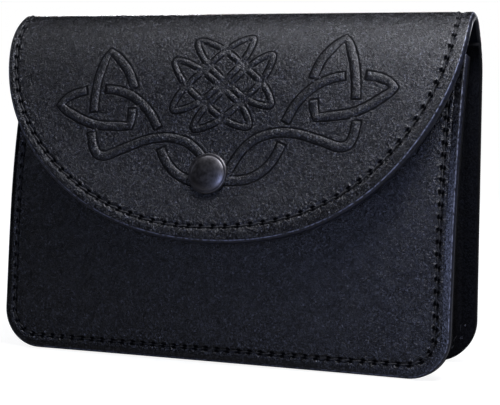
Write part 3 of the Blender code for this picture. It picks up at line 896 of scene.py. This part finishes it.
def seam_relief(along, across):
    """Height and painted shade beside a seam: channel, slanted oval pits with raised lips; the pits, a ring
    round them and a line by the thread bed are painted dark as shade.
    """
    long_way = (along * math.cos(PIT_SLANT) + across * math.sin(PIT_SLANT)) / PIT_LONG
    short_way = (across * math.cos(PIT_SLANT) - along * math.sin(PIT_SLANT)) / PIT_SHORT
    out, beside = np.hypot(long_way, short_way), np.abs(across)
    ends = (long_way / np.maximum(out, 0.01)) ** 4
    pit = 1.0 - ease((out - PIT_WALL[0]) / PIT_WALL[1])
    lip = np.exp(-((out - LIP[0]) / LIP[1]) ** 2) * (SIDE_LIP + (1.0 - SIDE_LIP) * ends)
    channel = CHANNEL_DEPTH * np.exp(-(across / CHANNEL_WIDTH) ** 2)
    edge = BORDER[0] * ease((beside - BORDER[1]) / BORDER[2])
    crease_shade = CREASE_SHADE[0] * np.exp(-((beside - CREASE_SHADE[1]) / CREASE_SHADE[2]) ** 2)
    # Painted shade: the pits and the crease by the thread take the deep black finish
    painted_seam_shade = np.maximum(1.0 - ease((out - PAINTED_SHADE_RING[0]) / PAINTED_SHADE_RING[1]), crease_shade)
    return LIP_HEIGHT * lip - PIT_DEPTH * pit - channel - edge, painted_seam_shade


def along_face(face, normal, places, behind):
    """Points, outward and side directions at places of a seam, on a face or behind it."""
    point, out = face(places[:, 0], places[:, 1]), normal(places[:, 0], places[:, 1])
    if behind > 0.0:
        point, out = point - out * behind, -out
    way = np.gradient(point, axis=0)
    return point, out, np.cross(out, unit(way - out * np.sum(way * out, axis=-1, keepdims=True)))


def sewn_strip(face, normal, line, pitch, behind=0.0):
    """Grid of a closed band along a seam: its relief on top and two corners below; it ends in a point."""
    places = even_steps(line, BEHIND_ROW if behind > 0.0 else STRIP_ROW)
    run = running(places)
    step = run[-1] / max(round(run[-1] / pitch), 1)
    point, out, side = along_face(face, normal, places, behind)
    across = mirrored(np.array(STRIP_OFFSETS))
    along = (run + step / 2.0) % step - step / 2.0
    height, painted_seam_shade = seam_relief(along[:, None], across[None, :])
    depth, corner = BED_DEPTH + LOWER_CORNER[0], STRIP_OFFSETS[-1] * LOWER_CORNER[1]
    width = np.concatenate([across, [corner, -corner]])
    height = np.concatenate([height, np.full((len(run), 2), -depth)], axis=1)
    painted_seam_shade = np.concatenate([painted_seam_shade, np.zeros((len(run), 2))], axis=1)
    closed = np.allclose(places[0], places[-1])
    full = np.ones(len(run)) if closed else ease(np.minimum(run, run[-1] - run) / POINTED_END[0])
    full = full[:, None]
    height, width = height * full - POINTED_END[1] * (1.0 - full), width[None, :] * full
    return point[:, None] + width[..., None] * side[:, None] + height[..., None] * out[:, None], painted_seam_shade


# %% [markdown]
# ## Thread
# Between two holes lies one stitch: a short capsule of thread that bends down into both pits. All
# stitches of a seam are one array, and a capsule is only a few dozen faces.

# %% Thread
THREAD = 0.00030
THREAD_LIFT = -0.00024
THREAD_DIP = 0.00045
THREAD_GRID = (9, 7)


def stitches(face, normal, line, pitch, behind=0.0):
    """Grids of the stitches between neighbouring holes: they thin at both ends, which dip into the pits."""
    run = running(even_steps(line, STRIP_ROW))[-1]
    places = even_steps(line, run / max(round(run / pitch), 1))
    point, out, side = along_face(face, normal, places, behind)
    share = np.linspace(0.0, 1.0, THREAD_GRID[0])[:, None]
    middle = point[:-1, None] + share * (point[1:] - point[:-1])[:, None]
    up, flat = unit(out[:-1] + out[1:])[:, None], unit(side[:-1] + side[1:])[:, None]
    slack = THREAD * 0.5 * np.sin(math.tau * (share - 0.5))
    middle = middle + up * (THREAD_LIFT - THREAD_DIP * (2.0 * share - 1.0) ** 4) + flat * slack
    thick = THREAD * np.sqrt(np.maximum(1.0 - (2.0 * share - 1.0) ** 8, 0.0))
    turn = np.linspace(0.0, math.tau, THREAD_GRID[1], endpoint=False)[:, None]
    round_it = np.cos(turn) * flat[:, :, None] + np.sin(turn) * up[:, :, None]
    return middle[:, :, None] + thick[..., None] * round_it


def sew(name, *seams):
    """Two joined pieces from a list of seams: the strips of leather along them, and all their thread."""
    strips, threads = [], []
    for seam in seams:
        grid, painted_seam_shade = sewn_strip(*seam)
        strips.append((grid.reshape(-1, 3), grid_faces(*painted_seam_shade.shape, closed=True), painted_seam_shade.reshape(-1)))
        grids = stitches(*seam)
        copies, rows, columns = grids.shape[:3]
        each = rows * columns * np.arange(copies)[:, None, None]
        faces = grid_faces(rows, columns, closed=True) + each
        threads.append((grids.reshape(-1, 3), faces.reshape(-1, 4)))
    return (grooved_mesh(f"{name}_sewn_edge", *gathered(strips)),
            add_mesh(f"{name}_thread", *gathered(threads), STRIP_WELD))


# %% [markdown]
# ## The seams on both sides
# Saddle stitching looks the same on both sides of the leather, so each seam is sewn on its outer
# face and again behind it: on the flap's flesh side, and on the gusset's flanges in the recess.

# %% Sewn seams
FLAP_PITCH = 0.00475
FRONT_PITCH = 0.00425
JOINT = LEATHER + GAP + GUSSET_LEATHER
# The inner seam starts this far before the flap, and ends this far below the gusset's top
BEFORE_FLAP = 0.02
BELOW_GUSSET_TOP = 0.004
flap_part = HIDE_SEAM[HIDE_SEAM[:, 1] > FLAP_START - BEFORE_FLAP]
back_part = HIDE_SEAM[HIDE_SEAM[:, 1] <= GUSSET_BACK_TOP - FOLD_START - BELOW_GUSSET_TOP]
sewing = [sew("hide_seam", (flap_face, flap_normal, HIDE_SEAM, FLAP_PITCH)),
          sew("front_seam", (front_face, front_normal, FRONT_SEAM, FRONT_PITCH)),
          sew("inner_seam", (flap_face, flap_normal, flap_part, FLAP_PITCH, LEATHER),
              (flap_face, flap_normal, back_part, FLAP_PITCH, JOINT),
              (front_face, front_normal, FRONT_SEAM, FRONT_PITCH, JOINT))]

# %% [markdown]
# ## Sewn feet of the belt loops
# Each foot is held by a small sewn square, the usual way to fix a loop that takes a pull.

# %% Belt loop seams
FOOT_SEAM_IN = 0.0030
FOOT_SEAM_END = 0.0006
LOOP_PITCH = 0.0034


def foot_seam(z_low, z_high):
    """Closed square of stitches on a loop's foot, in width and height."""
    half = LOOP_WIDTH / 2.0 - FOOT_SEAM_IN
    return np.array([(-half, z_low), (half, z_low), (half, z_high), (-half, z_high), (-half, z_low)])


FEET = (foot_seam(LOOP_BOTTOM + FOOT_SEAM_IN, LOOP_BOTTOM + LOOP_FOOT - FOOT_SEAM_END),
        foot_seam(LOOP_TOP - LOOP_FOOT + FOOT_SEAM_END, LOOP_TOP - FOOT_SEAM_IN))
sewing.append(sew("belt_loops", *[(loop_outer(centre), loop_normal, foot, LOOP_PITCH)
                                  for centre in (-LOOP_CENTRE, LOOP_CENTRE) for foot in FEET]))

# %% [markdown]
# ## Press stud
# The stud's parts are turned, so each is a profile of radius and height carried round the stud's
# axis. The cap is a shallow dome rolled under at its rim; post and socket sit behind the leather,
# and the ball that snaps into the socket is riveted to the front panel.

# %% Press stud
CAP_RADIUS = 0.0075
CAP_RISE = 0.0026
CAP_ROLL = 0.0009
STUD_GAP = 0.0004
SOCKET_TOP = 0.0034
SOCKET_END = 0.0069
STUD_TOP = 0.0072
STUD_FLANGE = 0.0009
POST_RADIUS = 0.0019
SOCKET_RADIUS = 0.0044
SOCKET_BORE = 0.0032
SOCKET_RIM = 0.0060
BALL_RADIUS = 0.0028
BALL_NECK = 0.0022
STUD_RADIUS = 0.0060
RIVET_RADIUS = 0.0017
# Radius and depth of the rivet head inside the pouch
RIVET_HEAD = ((0.0050, 0.0119), (0.0047, 0.0124), (0.0040, 0.0129), (0.0, 0.0129))
SOCKET_ROUND = 0.0003
STUD_ROUND = 0.0002
# How far the dome and the round of the socket's rim stay inside the full radius
DOME_IN = 0.0007
RIM_STEP = 0.0001
TURNED_SIDES = 96
METAL_WELD = 0.000005


def turned(name, profile):
    """Profile of radius and height turned round the stud's axis, closed where the radius is nought."""
    line = np.array(profile)
    turn = np.linspace(0.0, math.tau, TURNED_SIDES, endpoint=False)[:, None]
    side = np.array([1.0, 0.0, 0.0])
    ring = np.cos(turn) * side + np.sin(turn) * np.cross(SNAP_AXIS, side)
    points = SNAP_POINT + line[:, :1, None] * ring + line[:, 1:, None] * SNAP_AXIS
    return add_mesh(name, points.reshape(-1, 3), grid_faces(len(line), TURNED_SIDES, closed=True), METAL_WELD)


def arc(middle, across, up, first, last, steps):
    """Points on an ellipse between two angles, measured in degrees from the axis."""
    angle = np.radians(np.linspace(first, last, steps))
    return list(zip(middle[0] + across * np.sin(angle), middle[1] + up * np.cos(angle)))


rim_height = STUD_GAP + CAP_ROLL
under_socket = -SOCKET_TOP - STUD_FLANGE
cap_line = (arc((0.0, rim_height), CAP_RADIUS - DOME_IN, CAP_RISE - CAP_ROLL, 0.0, 72.0, 20)
            + arc((CAP_RADIUS - CAP_ROLL, rim_height), CAP_ROLL, CAP_ROLL, 30.0, 180.0, 14)
            + [(POST_RADIUS, STUD_GAP), (POST_RADIUS, -SOCKET_TOP), (SOCKET_RIM, -SOCKET_TOP)]
            + arc((SOCKET_RIM - RIM_STEP, -SOCKET_TOP - SOCKET_ROUND), SOCKET_ROUND, SOCKET_ROUND,
                  30.0, 180.0, 5)
            + [(SOCKET_RADIUS, under_socket), (SOCKET_RADIUS, SOCKET_ROUND - SOCKET_END)]
            + arc((SOCKET_RADIUS - SOCKET_ROUND, SOCKET_ROUND - SOCKET_END), SOCKET_ROUND, SOCKET_ROUND,
                  90.0, 180.0, 5)
            + [(SOCKET_BORE, -SOCKET_END), (SOCKET_BORE, under_socket), (0.0, under_socket)])
cap = turned("snap_cap_skin", cap_line)
ball_top = SOCKET_TOP + STUD_FLANGE + GAP
ball_middle = (ball_top + STUD_TOP) / 2.0
under_stud = -STUD_TOP - STUD_FLANGE
stud_line = (arc((0.0, -ball_middle), BALL_RADIUS, ball_middle - ball_top, 0.0, 125.0, 16)
             + [(BALL_NECK, -STUD_TOP), (STUD_RADIUS - STUD_ROUND, -STUD_TOP)]
             + arc((STUD_RADIUS - STUD_ROUND, -STUD_TOP - STUD_ROUND), STUD_ROUND, STUD_ROUND, 20.0, 90.0, 4)
             + [(STUD_RADIUS, under_stud), (RIVET_RADIUS, under_stud), (RIVET_RADIUS, -RIVET_HEAD[0][1])]
             + [(radius, -depth) for radius, depth in RIVET_HEAD])
stud = turned("snap_stud_skin", stud_line)
for piece, node in ((cap, "snap_cap"), (stud, "snap_stud")):
    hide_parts(node)

# %% [markdown]
# ## Finishes: helpers
# Colours are written as they look on a screen and turned into the light values that Blender mixes.
# One function adds a node with its settings and its links, and short ones name the nodes that come
# back often, so a material reads as a list of what is done to its colour, gloss and height.

# %% Finish helpers
def colour(code):
    """Screen colour in hex to linear red, green, blue and an alpha of 1."""
    screen = np.array([int(code[i:i + 2], 16) for i in (0, 2, 4)]) / 255.0
    linear = np.where(screen <= 0.04045, screen / 12.92, ((screen + 0.055) / 1.055) ** 2.4)
    return (*[float(c) for c in linear], 1.0)


def new_finish(name):
    """Material with an empty node tree, and the place on the object in metres."""
    material = bpy.data.materials.new(name)
    material.use_nodes = True
    material.node_tree.nodes.clear()
    return material, add_node(material, "ShaderNodeTexCoord").outputs["Object"]


def add_node(material, kind, settings=None, **links):
    """Node with its settings; each link names a socket and gives a value or another node's socket."""
    node = material.node_tree.nodes.new(kind)
    for label, value in (settings or {}).items():
        setattr(node, label, value)
    for label, value in links.items():
        socket = node.inputs[int(label[1:])] if label[0] == "_" else node.inputs[label.replace("_", " ")]
        if isinstance(value, bpy.types.NodeSocket):
            material.node_tree.links.new(value, socket)
        else:
            socket.default_value = value
    return node


def ramp(material, fac, *stops):
    """Colour ramp from pairs of place and screen colour."""
    node = add_node(material, "ShaderNodeValToRGB", Fac=fac)
    band = node.color_ramp.elements
    while len(band) < len(stops):
        band.new(0.5)
    for element, (place, code) in zip(band, stops):
        element.position, element.color = place, colour(code)
    return node.outputs["Color"]


def grey(value):
    """Neutral colour of one light value."""
    return (value, value, value, 1.0)


def noise(material, place, scale, detail, roughness=0.5):
    """Cloudy spots, about one metre divided by the scale wide, with finer ones in them."""
    return add_node(material, "ShaderNodeTexNoise", Vector=place, Scale=scale, Detail=detail,
                    Roughness=roughness).outputs["Fac"]


def mapped(material, value, first, last, low=0.0, high=1.0):
    """Value carried from the range first to last over to the range low to high, and held there."""
    return add_node(material, "ShaderNodeMapRange", Value=value, From_Min=first, From_Max=last,
                    To_Min=low, To_Max=high).outputs["Result"]


def combined(material, operation, first, second):
    """Sum or product of two values."""
    return add_node(material, "ShaderNodeMath", {"operation": operation}, _0=first,
                    _1=second).outputs["Value"]


def mixed(material, share, base, other):
    """Colour a share of the way from a base to another."""
    return add_node(material, "ShaderNodeMix", {"data_type": "RGBA"}, _0=share, _6=base,
                    _7=other).outputs[2]


def stored(material, name):
    """Share stored on the mesh under a name."""
    return add_node(material, "ShaderNodeAttribute", {"attribute_name": name}).outputs["Fac"]


def bumped(material, height, strength, distance, **links):
    """Normal tilted by a height, whose full range stands for a distance in metres."""
    return add_node(material, "ShaderNodeBump", Height=height, Strength=strength, Distance=distance,
                    **links).outputs["Normal"]


def show(material, **links):
    """The material, with its surface built and joined to its output."""
    skin = add_node(material, "ShaderNodeBsdfPrincipled", **links)
    add_node(material, "ShaderNodeOutputMaterial", Surface=skin.outputs["BSDF"])
    return material


# %% [markdown]
# ## Black full-grain leather
# The hide is dyed through and finished with a thin satin coat. Its look is in its grain: pebbles
# about two thirds of a millimetre wide, pores between them, and a fine sparkle where the coat's
# facets catch the light, in the gloss and as painted glints, lighter specks in the colour. Noise at
# the real size gives each of these, in metres.

# %% Black leather
# Spots in a metre: pebbles 0.7 mm wide, facets 0.4 mm, patches of gloss 4 mm, wear of the dye 26 mm
PEBBLES = 1500.0
FACETS = 2300.0
PATCHES = 260.0
DYE_WEAR = 38.0
# Depth of the pebbles and of the fine grain, and the share of both that is left on the margin
PEBBLE_DEPTH = 0.00014
GRAIN_DEPTH = 0.00035
MARGIN_RELIEF = 0.35


def grain_leather(name, base, wear_and_painted_light, painted_glint, rough, shine=0.5):
    """Grain in height and gloss, sparkling facets with painted glints in the colour, broad wear in the dye,
    and less of it on the margins.
    """
    leather, place = new_finish(name)
    pebble = add_node(leather, "ShaderNodeTexVoronoi", {"feature": "SMOOTH_F1"}, Vector=place,
                      Scale=PEBBLES, Smoothness=0.5).outputs["Distance"]
    cell = add_node(leather, "ShaderNodeTexVoronoi", Vector=place, Scale=FACETS).outputs["Color"]
    fine = noise(leather, place, PEBBLES, 3.0, 0.75)
    mottled = combined(leather, "ADD", noise(leather, place, PATCHES, 5.0, 0.7), fine)
    gloss = mapped(leather, mottled, 0.75, 1.25, rough + 0.16, rough - 0.14)
    strength = mapped(leather, stored(leather, "margin"), 0.0, 1.0, 1.0, MARGIN_RELIEF)
    dyed = mixed(leather, noise(leather, place, DYE_WEAR, 4.0, 0.6), base, wear_and_painted_light)
    # Painted glints: lighter specks in the colour where the facet cells are bright
    painted_glint_share = combined(leather, "MULTIPLY", mapped(leather, cell, 0.82, 0.94), strength)
    pebbled = bumped(leather, pebble, strength, PEBBLE_DEPTH)
    return show(leather, Base_Color=mixed(leather, painted_glint_share, dyed, painted_glint), Roughness=gloss, IOR=1.5,
                Specular_IOR_Level=mapped(leather, cell, 0.3, 0.75, 0.6 * shine, 1.5 * shine),
                Normal=bumped(leather, fine, strength, GRAIN_DEPTH, Normal=pebbled))


# The third colour is the painted glint of the facets
black_leather = grain_leather("black full-grain leather", colour("030304"), colour("070709"),
                              colour("4e5058"), 0.24)

# %% [markdown]
# ## Cut edge and flesh side
# The cut edge is burnished with black edge dye: smooth and a little blue. Its two corners are lighter,
# partly rubbed dye and partly painted highlight, and where the mesh says so the edge is painted dark
# as shade. The flesh side keeps its short fibres and stays matt.

# %% Edge, flesh and gusset leather
def cut_edge():
    """Burnished edge: by the share of wear and painted light, the share across the cut gives two lighter
    lines at its corners, partly rubbed dye and partly painted highlight; where that share is 0 the edge is
    painted dark as shade.
    """
    edge, place = new_finish("burnished leather edge")
    streak = noise(edge, place, 900.0, 3.0)
    # Share of wear and painted light, broken by streaks; at 0, on the back, the fold's start and the belt
    # loops, the edge is painted dark as shade
    share = combined(edge, "MULTIPLY", stored(edge, "wear_and_painted_light"), mapped(edge, streak, 0.38, 0.60))
    # The two light stops at the cut's corners are partly rubbed dye and partly painted highlight
    tone = ramp(edge, stored(edge, "cut"), (0.0, "14161d"), (0.03, "8a8ea0"), (0.12, "212431"),
                (0.74, "191c29"), (0.90, "525a74"), (1.0, "1e202c"))
    return show(edge, Base_Color=mixed(edge, share, colour("08080b"), tone), Roughness=0.42, IOR=1.5,
                Normal=bumped(edge, streak, 0.4, 0.00012))


def flesh_side():
    """Matt fibrous side: soft noise in the colour and the height, with a faint sheen of raised fibres."""
    flesh, place = new_finish("leather flesh side")
    fibre = noise(flesh, place, 1300.0, 6.0, 0.7)
    tone = ramp(flesh, fibre, (0.3, "040406"), (0.7, "0a0b12"))
    return show(flesh, Base_Color=tone, Roughness=0.85, IOR=1.45, Specular_IOR_Level=0.2,
                Sheen_Weight=0.05, Normal=bumped(flesh, fibre, 0.7, 0.0003))


def painted_groove_shade():
    """Painted shade in a pressed groove or a pricked hole: deep black, with almost no shine."""
    deep, place = new_finish("matt leather with painted shade in the grooves")
    tone = ramp(deep, noise(deep, place, 2600.0, 3.0), (0.35, "020203"), (0.7, "08080a"))
    return show(deep, Base_Color=tone, Roughness=0.9, Specular_IOR_Level=0.1)


groove_shade_finish = painted_groove_shade()
gusset_leather = grain_leather("thin black gusset leather", colour("020202"), colour("040405"),
                               colour("08080a"), 0.55, shine=0.1)
edge_finish = cut_edge()
flesh_finish = flesh_side()
for piece in (hide, front, *loops):
    for finish in (black_leather, edge_finish, flesh_finish):
        piece.data.materials.append(finish)
# The gusset's cut edges take the deep black groove finish: painted shade, as they lie in the recess
for finish in (gusset_leather, groove_shade_finish, flesh_finish):
    gusset.data.materials.append(finish)
for piece in (*figures, knot, *[leather for leather, thread in sewing]):
    piece.data.materials.append(black_leather)
    piece.data.materials.append(groove_shade_finish)

# %% [markdown]
# ## Thread and metal
# The thread is waxed, so it is black with a low shine. The stud is plated steel: dark nickel,
# brushed soft by wear.

# %% Thread and metal
def waxed_thread():
    """Twisted waxed thread: fine diagonal ridges from a wave, and a low even gloss."""
    thread, place = new_finish("waxed black thread")
    twist = add_node(thread, "ShaderNodeTexWave", {"bands_direction": "DIAGONAL"}, Vector=place,
                     Scale=1500.0, Distortion=1.0).outputs["Fac"]
    return show(thread, Base_Color=colour("08080a"), Roughness=0.5, IOR=1.5,
                Normal=bumped(thread, twist, 0.6, 0.0001))


def dark_nickel():
    """Satin plated metal: dark, with fine rubbed marks in its roughness."""
    metal, place = new_finish("satin dark nickel")
    rub = noise(metal, place, 700.0, 5.0, 0.65)
    return show(metal, Base_Color=colour("605e5f"), Metallic=1.0,
                Roughness=mapped(metal, rub, 0.3, 0.7, 0.30, 0.48),
                Normal=bumped(metal, rub, 0.25, 0.00005))


thread_finish, nickel = waxed_thread(), dark_nickel()
for leather, thread in sewing:
    thread.data.materials.append(thread_finish)
for piece in (cap, stud):
    piece.data.materials.append(nickel)

# %% [markdown]
# ## Floor, light and camera
# The photograph shows the pouch on plain white in soft studio light: the strongest light is high on
# the right, a bluish one low in front lights the front panel, and little comes from the left. Two
# low lights behind keep the back from going black. The floor is plain and pale.

# %% Floor and light
FLOOR_REACH = 6.0
MIDDLE = (0.0, 0.0, 0.065)
LIGHT_SIZE = 0.16
# Columns: name, turn to the right of straight ahead and height above the floor's level in degrees,
# distance, power and tint
LIGHTS = (("light_right_high", 60.0, 60.0, 0.50, 2.8, "f2f4ff"),
          ("light_right_side", 90.0, 60.0, 0.50, 1.1, "f2f4ff"),
          ("light_front_high", 28.0, 60.0, 0.50, 0.42, "eef1ff"),
          ("light_right_low", 20.0, 5.0, 0.50, 0.80, "bccaff"),
          ("light_above", 0.0, 90.0, 0.50, 0.36, "f0f3ff"),
          ("light_left_high", -68.0, 66.0, 0.50, 0.38, "f0f3ff"),
          ("light_left_side", -84.0, 20.0, 0.50, 0.08, "e0e7ff"),
          ("light_behind_right", 172.0, 14.0, 0.60, 1.0, "f6f8ff"),
          ("light_behind_left", 212.0, 14.0, 0.60, 1.0, "f6f8ff"))
# Strength of the white background as light on the pouch; seen by the camera it is 1
SKY_LIGHT = 0.006


def floor_finish():
    """Pale paper with a painted glow that only the camera sees: dimmer near the pouch, a painted shadow round
    it, and brighter away from it, where it meets the background.
    """
    paper, place = new_finish("pale floor")
    away = add_node(paper, "ShaderNodeVectorMath", {"operation": "LENGTH"}, Vector=place).outputs["Value"]
    seen = add_node(paper, "ShaderNodeLightPath").outputs["Is Camera Ray"]
    # Painted glow for camera rays, lowered near the pouch as painted shadow
    painted_glow = combined(paper, "MULTIPLY", seen, mapped(paper, away, 0.12, 0.9, 0.88, 1.0))
    return show(paper, Base_Color=grey(0.15), Roughness=0.9, Emission_Color=grey(1.0),
                Emission_Strength=painted_glow)


def soft_light(name, turn, height, distance, power, tint):
    """Square area light on a ball round the pouch's middle, turned so that it shines at it."""
    turn, height = math.radians(turn), math.radians(height)
    level = math.cos(height) * distance
    place = (math.sin(turn) * level, -math.cos(turn) * level, math.sin(height) * distance + MIDDLE[2])
    light = bpy.data.lights.new(name, "AREA")
    light.shape, light.size, light.energy, light.color = "SQUARE", LIGHT_SIZE, power, colour(tint)[:3]
    lamp = bpy.data.objects.new(name, light)
    bpy.context.scene.collection.objects.link(lamp)
    lamp.location = place
    lamp.rotation_mode = "QUATERNION"
    lamp.rotation_quaternion = (Vector(MIDDLE) - Vector(place)).to_track_quat("-Z", "Y")


floor_mesh = bpy.data.meshes.new("floor")
corners = [(x * FLOOR_REACH, y * FLOOR_REACH, 0.0) for x, y in ((-1, -1), (1, -1), (1, 1), (-1, 1))]
floor_mesh.from_pydata(corners, [], [(0, 1, 2, 3)])
floor = bpy.data.objects.new("floor", floor_mesh)
bpy.context.scene.collection.objects.link(floor)
floor_mesh.materials.append(floor_finish())
for row in LIGHTS:
    soft_light(*row)
world = bpy.data.worlds.new("studio")
world.use_nodes = True
bpy.context.scene.world = world
world.node_tree.nodes.clear()
seen = add_node(world, "ShaderNodeLightPath").outputs["Is Camera Ray"]
sky = add_node(world, "ShaderNodeBackground", Color=grey(1.0),
               Strength=mapped(world, seen, 0.0, 1.0, SKY_LIGHT, 1.0))
add_node(world, "ShaderNodeOutputWorld", Surface=sky.outputs["Background"])
bpy.context.scene.view_settings.view_transform = "Standard"

# %% [markdown]
# ## Camera
# The photograph was taken from a little to the right and slightly above, with a long lens. The
# camera's place was fitted to points that can be found both on the pouch and in the photograph.

# %% Camera
CAMERA_PLACE = (0.19349, -0.48540, 0.10923)
CAMERA_TURN = math.radians(20.967)
CAMERA_DOWN = math.radians(5.641)
CAMERA_ROLL = math.radians(0.243)
camera = bpy.data.objects.new("camera", bpy.data.cameras.new("camera"))
camera.data.lens = 100.81
camera.data.sensor_width = 36.0
camera.data.clip_start = 0.01
camera.location = CAMERA_PLACE
camera.rotation_mode = "XYZ"
bpy.context.scene.collection.objects.link(camera)
ahead = Vector((-math.sin(CAMERA_TURN) * math.cos(CAMERA_DOWN), math.cos(CAMERA_TURN) * math.cos(CAMERA_DOWN),
                -math.sin(CAMERA_DOWN)))
level = Vector((math.cos(CAMERA_TURN), math.sin(CAMERA_TURN), 0.0))
above = level.cross(ahead)
right = math.cos(CAMERA_ROLL) * level + math.sin(CAMERA_ROLL) * above
upward = math.cos(CAMERA_ROLL) * above - math.sin(CAMERA_ROLL) * level
camera.rotation_euler = Matrix((right, upward, -ahead)).transposed().to_euler()
bpy.context.scene.camera = camera
